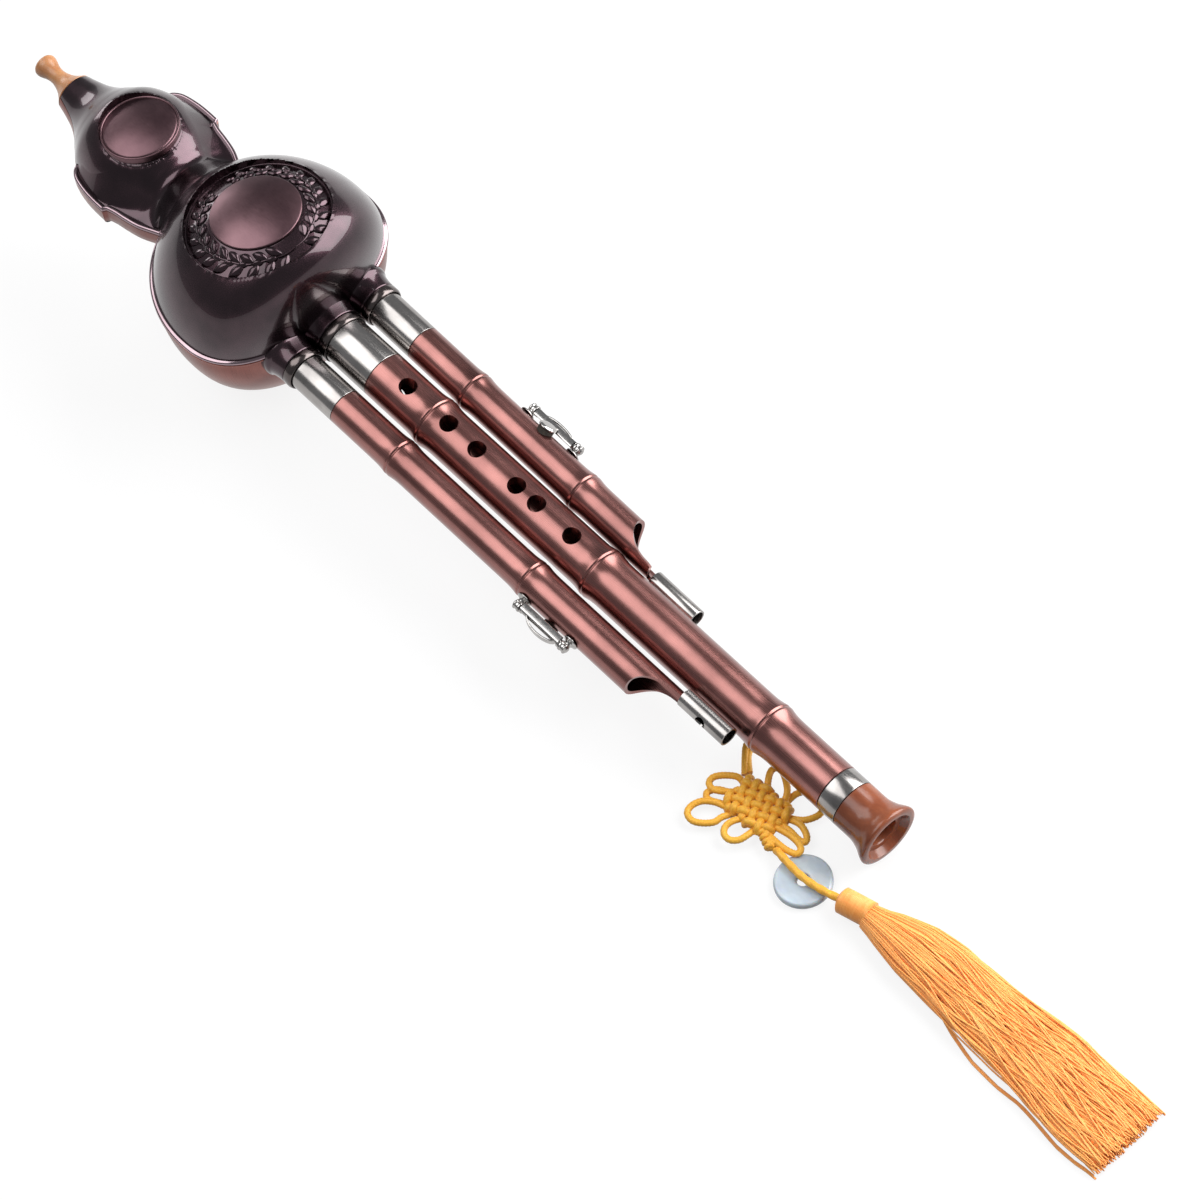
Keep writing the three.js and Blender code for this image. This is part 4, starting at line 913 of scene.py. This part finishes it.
def tail_tube(name):
    """A tuning tube on the tongue's tip, with a round hole in the longer drone's one."""
    d = DRONES[name]
    turn = math.radians(d["turn"])
    shift = TAIL_REACH * np.array([0, math.cos(turn), math.sin(turn)])
    move = beside(d["side"])
    start_x, end_x, bore = d["tail"], d["tail"] + TAIL_LENGTH, TAIL_R - TAIL_WALL
    if name == "right":
        return [lathe(sleeve(start_x, end_x, bore, TAIL_R, 0.15), 64, move=lambda q: move(q + shift))]
    hx, radius, room = start_x + TAIL_HOLE[0], TAIL_HOLE[1], TAIL_HOLE[1] + 1.2
    ha = (math.pi / 2 - math.radians(TAIL_HOLE[2])) % TURN * TAIL_R
    whole = TURN * TAIL_R
    across, beyond = np.linspace(-radius, radius, 13), np.linspace(radius, room, 5)[1:]
    x = np.concatenate([np.linspace(start_x, hx - room, 8)[:-1], hx - beyond[::-1], hx + across, hx + beyond,
                        np.linspace(hx + room, end_x, 7)[1:]])
    arc = ha + np.concatenate([across, beyond, np.linspace(room, whole - room, 44)[1:], whole - beyond[-2::-1]])
    holes = [(hx, place_round, radius, room) for place_round in (ha, ha + whole)]
    px, pa = pierced(x, arc, holes)
    f = pa / TAIL_R

    def at(r):
        return move(np.stack([px, r * np.sin(f), r * np.cos(f)], -1) + shift)

    outer = skin(at(TAIL_R), u=np.append(x, x[-1]), v=np.append(arc, arc[0] + whole) / whole, wrap_v=True,
                 keep=lambda quads, steps: outside_holes(x, arc, arc[0] + whole, holes[:1], steps))
    return [walled(outer, at(bore))]


for name in DRONES:
    body = f"{name}_drone"
    piece(f"{name}_drone_skin", drone(name), body, [f"{name}_drone_pipe"], [pipe_metal], sharp=40)
    piece(f"{name}_tail_skin", tail_tube(name), body, [f"{name}_tail_tube"], [nickel_metal], sharp=40)

# Sockets, their plate and their collars
SOCKET_START, SOCKET_WALL, SOCKET_ROOM = -33.5, 0.6, 0.3
PLATE_START, PLATE_FACE, PLATE_RISE, PLATE_FLARE = -37, -23.75, 1.0, 2.6
COLLAR_START, COLLAR_SHOULDER, COLLAR_END = -23.45, -20.9, -20
plate_parts = []
for name, side, radius, rise in (("main", 0, MAIN_R, 0.8), ("left", -1, DRONE_R, 1.1), ("right", 1, DRONE_R, 1.1)):
    move = beside(side)
    socket = sleeve(SOCKET_START, 0, radius - SOCKET_WALL, radius, 0.15)
    piece(f"{name}_socket_skin", [lathe(socket, 96, move=move)], "gourd", [f"{name}_socket"], [nickel_metal])
    inner, outer = radius + SOCKET_ROOM, radius + rise
    collar = rounded([(COLLAR_START, inner), (COLLAR_START, outer), (COLLAR_SHOULDER, outer),
                      (COLLAR_END, (inner + outer) / 2), (COLLAR_END, inner)], 0.3)
    piece(f"{name}_collar_skin", [lathe(collar, 96, move=move)], "gourd", [f"{name}_collar"], [black_nickel])
    flare = spline([(PLATE_START, radius + PLATE_FLARE - 0.6), (-31.2, radius + PLATE_FLARE), (-29, radius + 1.7),
                    (-26.6, radius + 1.2), (-24, radius + PLATE_RISE)])
    ring = np.concatenate([[(PLATE_START, inner)], flare,
                           [(PLATE_FACE, radius + PLATE_RISE - 0.2), (PLATE_FACE, inner)]])
    plate_parts.append(lathe(ring, 96, move=move))
piece("socket_plate_skin", plate_parts, "gourd", ["socket_plate"], [front_metal])


# ---- Keys ----
# The hinge's height over the drone's axis, half the way between the posts, and half a post's head along the rod
KEY_UP, KEY_HALF, HEAD_HALF = 10.0, 11.5, 1.6
# The barrel with its end rings, the room for the rod, and half the lengths of the strap and the touch plate
BARREL_R, BARREL_RING, PIN_ROOM, STRAP_HALF, TOUCH_HALF = 1.25, 0.3, 0.9, 6.8, 9.3
# The pad's turn from the hinge, how far the cup's foot is from the axis, and the cup's radius
PAD_TURN, CUP_FOOT, CUP_R = math.radians(40), 8.6, 3.4


def keyed(name):
    """Moves points from a key's own place, hinge above the drone, to the outer side of its drone."""
    d = DRONES[name]
    move = beside(d["side"])
    return lambda p: move(np.stack([p[..., 0] + d["key"], -d["out"] * p[..., 2], d["out"] * p[..., 1]], -1))


def strip(path, across, half_wide, half_thick, move):
    """A band along a line: its section is a squarish ellipse, |a|^4 + |b|^4 = 1, wide along one direction."""
    across = np.asarray(across, float)
    up = np.cross(unit(np.gradient(path, axis=0)), across)
    f = np.linspace(0, TURN, 24, endpoint=False)
    a = np.sign(np.cos(f)) * np.sqrt(np.abs(np.cos(f))) * half_wide
    b = np.sign(np.sin(f)) * np.sqrt(np.abs(np.sin(f))) * half_thick
    points = path[:, None] + a[None, :, None] * across + b[None, :, None] * up[:, None]
    return skin(move(capped(points)), wrap_v=True)


def lever(name):
    """A key's lever: a barrel on its rod, a finger strap bowed as a half ellipse, a touch plate in front, and an
    arm with the pad's cup."""
    front = DRONES[name]["out"]
    move = keyed(name)
    half, ring_r = KEY_HALF - HEAD_HALF - 0.3, BARREL_R + BARREL_RING
    barrel = [(-half, PIN_ROOM), (-half, ring_r), (-half + 1, ring_r), (-half + 1.2, BARREL_R),
              (half - 1.2, BARREL_R), (half - 1, ring_r), (half, ring_r), (half, PIN_ROOM)]
    t = np.linspace(0, math.pi, 40)
    bow = np.stack([0.8 - STRAP_HALF * np.cos(t), 0 * t, KEY_UP + DRONES[name]["bow"] * np.sin(t) + 0.3], 1)
    x = np.linspace(-TOUCH_HALF, TOUCH_HALF, 24)
    touch = np.stack([x, np.full_like(x, front * 1.7), np.full_like(x, KEY_UP - 0.5)], 1)
    out = np.array([0, -math.sin(PAD_TURN), math.cos(PAD_TURN)])
    foot = CUP_FOOT * out
    share = np.linspace(0, 1, 16)[:, None]
    arm = np.array([0, 0, KEY_UP]) * (1 - share) + (foot + 0.6 * out) * share
    arm = arm + out * 0.5 * np.sin(math.pi * share)
    cup = rounded([(0, 0.0), (0, CUP_R), (0.5, CUP_R), (1.0, CUP_R - 0.8), (1.15, 0.0)], 0.3)
    side = np.array([1.0, 0, 0])
    on_foot = np.stack([out, side, np.cross(out, side)])
    return [lathe(rounded(barrel, 0.15), 48, move=lambda q: move(q + [0, 0, KEY_UP])),
            strip(bow, [0, 1, 0], 1.2, 0.4, move), strip(touch, [0, 0, 1], 1.4, 0.35, move),
            strip(arm, side, 1.7, 0.45, move), lathe(cup, 64, closed=False, move=lambda q: move(foot + q @ on_foot))]


def post(name, end):
    """A key's post: a dished foot, a waisted stem and a turned head across it, with a ball at its outer end."""
    move = keyed(name)
    stem = rounded([(6.95, 0.0), (6.95, 3.0), (7.4, 2.9), (7.9, 1.7), (8.6, 1.15), (KEY_UP, 1.3), (KEY_UP, 0.0)], 0.3)
    head = rounded([(-1.6, PIN_ROOM), (-1.6, 1.9), (-0.9, 1.9), (-0.7, 1.65), (0.2, 1.65), (0.4, 1.9), (0.9, 1.9),
                    (1.3, 1.2), (1.6, 0.9), (1.6, 0.0), (1.0, 0.0), (1.0, PIN_ROOM)], 0.18)

    def standing(q):
        return move(np.stack([q[..., 1] + end * KEY_HALF, q[..., 2], q[..., 0]], -1))

    def lying(q):
        return move(np.stack([end * (q[..., 0] + KEY_HALF), q[..., 1], q[..., 2] + KEY_UP], -1))

    return [lathe(stem, 48, closed=False, move=standing), lathe(head, 48, move=lying)]


for name in DRONES:
    piece(f"{name}_lever_skin", lever(name), f"{name}_key", [f"{name}_key_lever"], [key_metal], sharp=40)
    for end, word in ((-1, "rear"), (1, "front")):
        piece(f"{name}_post_{word}_skin", post(name, end), f"{name}_drone", [f"{name}_key_post_{word}"], [key_metal],
              sharp=40)

# Band and bell
BAND_START, BAND_END, BAND_BORE = 224.55, 232.05, 8.1
piece("bell_band_skin", [lathe(sleeve(BAND_START, BAND_END, BAND_BORE, MAIN_R, 0.15), 96)], "main_pipe", ["bell_band"],
      [nickel_metal])
# The bell's outline: shares of its length, and of its flare over the pipe
BELL_START, BELL_LENGTH, BELL_FLARE = 232.4, 16.9, 3
BELL = [(0.4, 0), (0.55, 0.12), (0.7, 0.4), (0.82, 0.75), (0.9, 0.96), (0.95, 1), (0.985, 0.9)]
flare = [(BELL_START + a * BELL_LENGTH, MAIN_R + o * BELL_FLARE) for a, o in BELL]
flare = spline([(BELL_START, MAIN_R)] + flare + [(249.4, 10.8)], 6)
bell = np.concatenate([
    [(227.4, 5.2), (227.4, 6.4), (232.35, 6.4), (232.35, MAIN_R - 0.15)], flare,
    [(249.3, 9.4), (249.0, 9.2), (247.4, 8.3), (246.8, 7.9), (246.8, 5.5), (246.3, 5.2)],
])
piece("bell_skin", [lathe(bell, 96)], "main_pipe", ["bell"], [resin], sharp=45)

# The mouthpiece's outline: shares of its length, and of its radius at the tip
MOUTH_START, MOUTH_LENGTH, MOUTH_R, MOUTH_BORE = -184, 18, 4.4, 1.8
MOUTH = [(0, 0.9), (0.05, 1), (0.14, 0.96), (0.3, 0.74), (0.45, 0.68), (0.6, 0.8), (0.75, 1.05), (0.88, 1.4)]
outside = spline([(MOUTH_START + a * MOUTH_LENGTH, o * MOUTH_R) for a, o in MOUTH] + [(-166.6, 7.4)], 8)
mouth = np.concatenate([
    [(MOUTH_START, MOUTH_BORE), (MOUTH_START, 3.7)], outside,
    [(-166.3, 7.2), (-166.3, 3.9), (-154, 3.9), (-154, MOUTH_BORE)],
])
piece("mouthpiece_skin", [lathe(rounded(mouth, 0.3), 80)], "mouthpiece", ["mouthpiece"], [amber], sharp=45)


# ---- Charm ----
CORD, DROP_CORD = 2.4, 2.8
LOOP = [(187, -6.4, -14), (186.5, -4, -11.4), (186.5, -3.6, -9), (186.5, -3.6, -6), (186.5, -3.4, -3.6),
        (186.5, 0, -1.8), (186.5, 3.4, -3.6), (186.5, 3.6, -6), (186.5, 3.6, -9), (186.5, 3, -11.6),
        (187.2, -1.4, -14), (188.6, -6.6, -15.2)]
loop_route = np.concatenate([[on_table(194, -13.2, 2.8)], place(LOOP) / MM, [on_table(194.6, -11.6, 2.8)]])
DROP = [(222.6, -25.8, 2.8), (225.4, -26.4, 4.2), (229, -26.9, 4.4), (237, -27.4, 4.4), (245, -26.4, 4.4),
        (250.8, -24.9, 4.4), (252.6, -24.4, 4.4)]
drop_route = np.array([on_table(*p) for p in DROP])


def free_cord(name, route, cad_node, thick, strands=3, lay=3.4):
    """A laid cord on a smooth route through its points."""
    line = spline(route, 14)
    obj = piece(name, [rope(line, thick, strands=strands, lay=lay)], "main_pipe", [cad_node], [cord_yarn], at=table,
                sharp=70)
    float(travelled(line)[-1]) * MM
    (evened(line, 1.0)[0] * MM).tolist()


# Petals of the knot, traced round their middle lines: (x, y) in row-frame millimetres, and their heights
PETALS = [
    ([(251, -15.5), (247.7, -15.5), (244.0, -18.1), (241.9, -21.0), (242.3, -23.5), (244.8, -24.4), (247.9, -22.9),
      (251.5, -19.0)], 3.4, 2.2),
    ([(252, -19.6), (246.3, -22.7), (244.2, -25.7), (244.8, -27.3), (246.8, -27.7), (250.1, -26.2), (254.0, -23.6)],
     2.4, 1.4),
    ([(255, -25.2), (252.5, -26.0), (248.7, -27.3), (245.5, -29.9), (244.3, -33.4), (245.3, -36.3), (248.5, -37.2),
      (251.7, -35.6), (254.4, -32.6), (254.9, -29.5), (256.0, -25.6)], 2.8, 1.6),
    ([(260.5, -23.6), (259.0, -28.4), (258.9, -31.7), (260.8, -33.8), (263.6, -33.9), (265.8, -31.8), (266.5, -28.8),
      (266.0, -23.7)], 3.6, 1.8),
    ([(259.3, -13.1), (256.6, -9.8), (254.6, -6.6), (255.2, -4.4), (257.6, -4.2), (261.6, -6.2), (264.8, -8.9),
      (266.5, -13.0)], 4.2, 2.2),
    ([(268.1, -15.5), (274.4, -12.4), (276.6, -9.7), (277.6, -6.3), (276.4, -3.2), (272.9, -1.9), (268.9, -2.9),
      (266.2, -6.6), (266.2, -13.9)], 2.4, 1.4),
    ([(268.4, -20.3), (276.3, -19.2), (281.3, -19.3), (283.7, -20.6), (283.5, -22.6), (280.4, -23.7), (276.3, -24.0),
      (268.1, -23.4)], 3.8, 2.4),
    ([(268.8, -15.4), (275.0, -13.8), (278.9, -14.3), (281.6, -15.9), (281.9, -17.6), (279.0, -18.0), (275.2, -17.7),
      (268.3, -17.8)], 3.0, 1.6),
]
# The woven middle: its place, turn, half sizes and pitch; its cords' height, swing and thickness
CORE_AT, CORE_TURN, CORE_HALF, PITCH = np.array([261.0, -18.8]), math.radians(24), np.array([10.4, 7.2]), 3.45
CORE_UP, CORE_SWING, CORE_EDGE_UP, CORE_CORD = 3.9, 0.95, 2.0, 2.9
# The bound collar's core, from end to end
COLLAR_A, COLLAR_B = np.array([268.4, -24.0, 3.2]), np.array([275.6, -26.7, 2.9])


def knot():
    """The flat knot: cords in two directions at right angles, whose heights swing by cos(pi s / pitch) so that
    they pass over and under each other, and a ring of petals that come out from under its edge."""
    parts = []
    for family in (0, 1):
        angle = CORE_TURN + family * math.pi / 2
        ahead = np.array([math.cos(angle), math.sin(angle)])
        across = np.array([-ahead[1], ahead[0]])
        for k in range(-4, 5):
            s = np.linspace(-16, 16, 321)
            line = CORE_AT + across * k * PITCH + s[:, None] * ahead
            inside = np.all(np.abs(line - CORE_AT) < CORE_HALF, axis=1)
            if inside.sum() < 30:
                continue
            z = CORE_UP + CORE_SWING * np.cos(math.pi * (s[inside] / PITCH + k + family))
            from_end = np.arange(len(z))
            fall = smoothstep(np.minimum(from_end, from_end[::-1]), 0, 14)
            z = CORE_EDGE_UP + (z - CORE_EDGE_UP) * fall
            parts.append(rope(np.column_stack([line[inside], z]), CORE_CORD, lay=3.8, step=0.4, sides=20))
    for points, tip_height, root_height in PETALS:
        p = np.array(points)
        z = np.full(len(p), tip_height)
        z[0] = z[-1] = root_height
        parts.append(rope(spline(np.column_stack([p, z]), 10), CORD, lay=3.4, step=0.4, sides=20))
    # a bound collar under the knot: rings of cord side by side on a short core
    ahead = unit(COLLAR_B - COLLAR_A)
    side = np.cross(ahead, [0, 0, 1.0])
    up = np.cross(side, ahead)
    a = np.linspace(0, TURN, 40, endpoint=False)[:, None]
    for share in np.linspace(0.12, 0.88, 4):
        ring = COLLAR_A + (COLLAR_B - COLLAR_A) * share + 1.15 * (np.cos(a) * side + np.sin(a) * up)
        parts.append(rope(ring, 1.9, lay=2.8, closed=True, sides=16))
    parts.append(rope(COLLAR_A + (COLLAR_B - COLLAR_A) * np.linspace(0, 1, 12)[:, None], CORD, step=0.4))
    return parts


piece("charm_knot_cords", knot(), "main_pipe", ["charm_knot"], [cord_yarn], at=table, sharp=70)


BUTTON_R, BUTTON_CORD = 1.35, 2.2


def button():
    """A small ball knot: a cord wound round a ball in two crossed turns."""
    middle = on_table(219.6, -25.3, 2.6)
    a = np.linspace(0, TURN, 60, endpoint=False)
    parts = []
    for tilt in (0.2, 1.1, 2.0, 2.9):
        ring = np.stack([np.cos(a), np.sin(a) * math.cos(tilt), np.sin(a) * math.sin(tilt)], 1) * BUTTON_R
        parts.append(rope(middle + ring, BUTTON_CORD, lay=3.0, closed=True, sides=16, step=0.4))
    return parts


piece("button_knot_cords", button(), "main_pipe", ["button_knot"], [cord_yarn], at=table, sharp=70)

# The disc and its round edge
DISC_R, DISC_BORE, DISC_HALF, DISC_EDGE = 10, 2.1, 1.5, 1.3
disc_at = on_table(237, -27.4, DISC_HALF)
disc = sleeve(-DISC_HALF, DISC_HALF, DISC_BORE, DISC_R, DISC_EDGE, 8)
disc_part = lathe(disc, 96, move=lambda p: np.stack([p[..., 2], p[..., 1], p[..., 0]], -1) + disc_at)
piece("jade_disc_skin", [disc_part], "main_pipe", ["jade_disc"], [jade], at=table, sharp=60)

# Tassel
HEAD_A, HEAD_B = on_table(251.3, -24.7, 4.5), on_table(263.6, -21.9, 4.5)
# The skirt's section along the table: x, its middle's y, half width and half height
SKIRT = [(320.0, -22.6, 4.6, 4.3), (327, -21.6, 7.2, 4.4), (338, -20.6, 10.2, 4.3), (350, -20.2, 11.4, 4.1),
         (366, -20.8, 12.0, 3.8), (382, -20.7, 12.8, 3.5), (400, -20.8, 13.9, 3.2), (418, -22.0, 14.5, 2.9),
         (436, -22.4, 14.8, 2.6)]


def head():
    """The tassel's head: a rounded cap of threads and a winding whose rings stand out by |sin|."""
    length = float(np.linalg.norm(HEAD_B - HEAD_A))
    axis = (HEAD_B - HEAD_A) / length
    side = unit(np.cross(axis, [0, 0, 1.0]))
    up = np.cross(side, axis)
    x = np.linspace(0, length, 240)
    r = 4.55 * np.clip(x / 1.6, 0, 1) ** 0.45
    wound = (x > 3.2) & (x < length - 1.0)
    r = np.where(wound, 4.5 + 0.1 * np.abs(np.sin(x * math.pi / 0.5)), r)
    r[-1] = 4.2
    p = np.concatenate([[(0, 0)], np.column_stack([x, r]), [(length, 0)]])
    f = np.linspace(0, TURN, 96, endpoint=False)
    threads = np.where(np.concatenate([[False], wound, [False]])[:, None], 0, 0.05 * np.abs(np.sin(f * 34))[None])
    points = ringed(HEAD_A + p[:, :1] * axis, side, up, p[:, 1:2] + threads * (p[:, 1:2] > 0.5), f)
    return [skin(points, u=np.append(p[:, 0], length), v=np.linspace(0, 1, 97), wrap_v=True)]


THREADS, THREAD_R = 620, 0.3


def skirt():
    """The tassel's threads: each starts in the head, keeps its own place in the flattened bundle's section as
    the section widens, wanders by slow sines, and ends near the others."""
    section = np.array(SKIRT)
    rings, sides = 30, 5
    share = np.linspace(0, 1, rings)[:, None]
    rho = rng.random(THREADS) ** 0.45
    theta = rng.random(THREADS) * TURN
    cut = 1 - 0.035 * rng.random(THREADS) ** 1.5
    x = section[0, 0] - 1.5 + (section[-1, 0] - section[0, 0] + 2.5) * share * cut[None]
    middle, wide, high = (np.interp(x, section[:, 0], section[:, k]) for k in (1, 2, 3))
    loose = smoothstep(share, 0.05, 0.6)
    lean = rng.normal(0, 0.25, THREADS)
    lean = lean + 0.35 * np.sin(TURN * (share * (0.7 + 0.5 * rng.random(THREADS)) + rng.random(THREADS)))
    turn = theta + loose * lean
    drift = np.sin(TURN * (share * (1.2 + rng.random(THREADS)) + rng.random(THREADS)))
    out = np.clip(rho + loose * 0.07 * drift, 0, 1.04)
    y = middle + wide * out * np.cos(turn)
    z = np.maximum(high * (1 + 0.94 * out * np.sin(turn)), 0.32)
    # a few threads stray off the lower side
    stray = np.array([(320.0, -23.0), (331.2, -24.0), (341.1, -26.0), (349.8, -28.0), (366.1, -33.1), (378.6, -36.1),
                      (390.9, -36.9), (401.3, -36.3), (409.6, -37.3), (419.6, -38.8), (427.8, -38.8), (433.2, -38.1)])
    for k in range(3):
        y[:, k] = np.interp(x[:, k], stray[:, 0], stray[:, 1]) + 0.35 * k
        z[:, k] = np.interp(x[:, k], [320, 345, 366, 436], [6.5, 6.5, 0.5, 0.4])
    for k in range(3, 9):
        edge = middle[:, k] + wide[:, k] + 0.9 * np.sin(math.pi * share[:, 0] * 1.7 + k) * loose[:, 0]
        y[:, k], z[:, k] = edge, np.maximum(0.4, 1.5 - k * 0.1)
    line = np.stack([x, y, z], -1)
    ahead = unit(np.gradient(line, axis=0))
    side = unit(np.cross(ahead, [0, 0, 1.0]))
    radius = THREAD_R * np.where((share == 0) | (share == 1), 0.7, 1.0)[..., None]
    ring = ringed(line, side, np.cross(side, ahead), radius, np.linspace(0, TURN, sides, endpoint=False))
    ring = np.moveaxis(ring, 1, 0)
    tips = [np.repeat(line[k][:, None, None], sides, 2) for k in (0, -1)]
    points = np.concatenate([tips[0], ring, tips[1]], axis=1)
    n = points.shape[1]
    quads, steps = grid(n, sides, False, True)
    all_quads = (quads[None] + np.arange(THREADS)[:, None, None] * n * sides).reshape(-1, 4)
    u = np.concatenate([[0], share[:, 0] * 116, [116]])
    uv = np.stack([u[steps[..., 0]], steps[..., 1] / sides], -1)
    offset = rng.random((THREADS, 1, 1, 2)) * [40.0, 9.0]
    all_uv = (uv[None] + offset).reshape(-1, 4, 2)
    return [{"points": points.reshape(-1, 3), "quads": all_quads, "uv": all_uv, "mat": 0}]


piece("tassel_head_wound", head(), "main_pipe", ["tassel_head"], [silk], at=table, sharp=60)
piece("tassel_threads", skirt(), "main_pipe", ["tassel_skirt"], [silk], at=table, sharp=80, merge=False)

free_cord("loop_cord", loop_route, "hanging_loop", CORD)
free_cord("drop_cord_twisted", drop_route, "drop_cord", DROP_CORD, strands=2, lay=9)


# ---- Floor and light ----
FLOOR, FLOOR_GLOW = 40, 0.84


def floor():
    """A pale floor that the camera sees as white and that keeps the object's shadow."""
    material, tree, shader = start("floor_pale")
    tree.nodes.remove(shader)
    path = node(tree, "ShaderNodeLightPath")
    seen = node(tree, "ShaderNodeMath", {"operation": "ADD"}, _0=path.outputs["Is Camera Ray"],
                _1=path.outputs["Is Glossy Ray"])
    seen = node(tree, "ShaderNodeMath", {"operation": "ADD", "use_clamp": True}, _0=seen.outputs[0],
                _1=path.outputs["Is Transmission Ray"])
    glow = node(tree, "ShaderNodeEmission", {"Color": (1, 1, 1, 1)}, Strength=seen.outputs[0])
    lit = node(tree, "ShaderNodeBsdfDiffuse", {"Color": (0.9, 0.9, 0.9, 1)})
    mixed = node(tree, "ShaderNodeMixShader", {0: FLOOR_GLOW}, _1=lit.outputs[0], _2=glow.outputs[0])
    tree.links.new(mixed.outputs[0], tree.nodes["Material Output"].inputs["Surface"])
    mesh = bpy.data.meshes.new("floor")
    mesh.from_pydata([(FLOOR * x, FLOOR * y, 0) for x, y in ((-1, -1), (1, -1), (1, 1), (-1, 1))], [], [(0, 1, 2, 3)])
    mesh.materials.append(material)
    obj = bpy.data.objects.new("floor", mesh)
    bpy.context.scene.collection.objects.link(obj)


def softbox(name, at, target, width, height, power):
    """A soft rectangular studio light."""
    data = bpy.data.lights.new(name, "AREA")
    data.shape, data.size, data.size_y = "RECTANGLE", width, height
    data.energy = power
    obj = bpy.data.objects.new(name, data)
    bpy.context.scene.collection.objects.link(obj)
    obj.location = at
    obj.rotation_mode = "QUATERNION"
    obj.rotation_quaternion = (Vector(target) - Vector(at)).to_track_quat("-Z", "Y")


floor()
# The side box makes the patch on the big lobe, the top one the streak along the pipes, the end one the neck's glint
softbox("softbox_side", (0.52, 0.95, 0.62), (0.0, 0, 0.03), 1.35, 1.25, 36)
softbox("softbox_top", (-0.35, -0.33, 1.15), (0.12, 0, 0), 1.1, 0.9, 9.5)
softbox("softbox_end", (-1.2, 0.1, 0.32), (-0.05, 0, 0.03), 0.5, 0.35, 2.5)
world = bpy.data.worlds.new("studio")
world.use_nodes = True
sky = world.node_tree.nodes["Background"]
sky.inputs["Color"].default_value = (0.75, 0.77, 0.8, 1)
sky.inputs["Strength"].default_value = 0.35
bpy.context.scene.world = world
bpy.context.scene.view_settings.view_transform = "Standard"
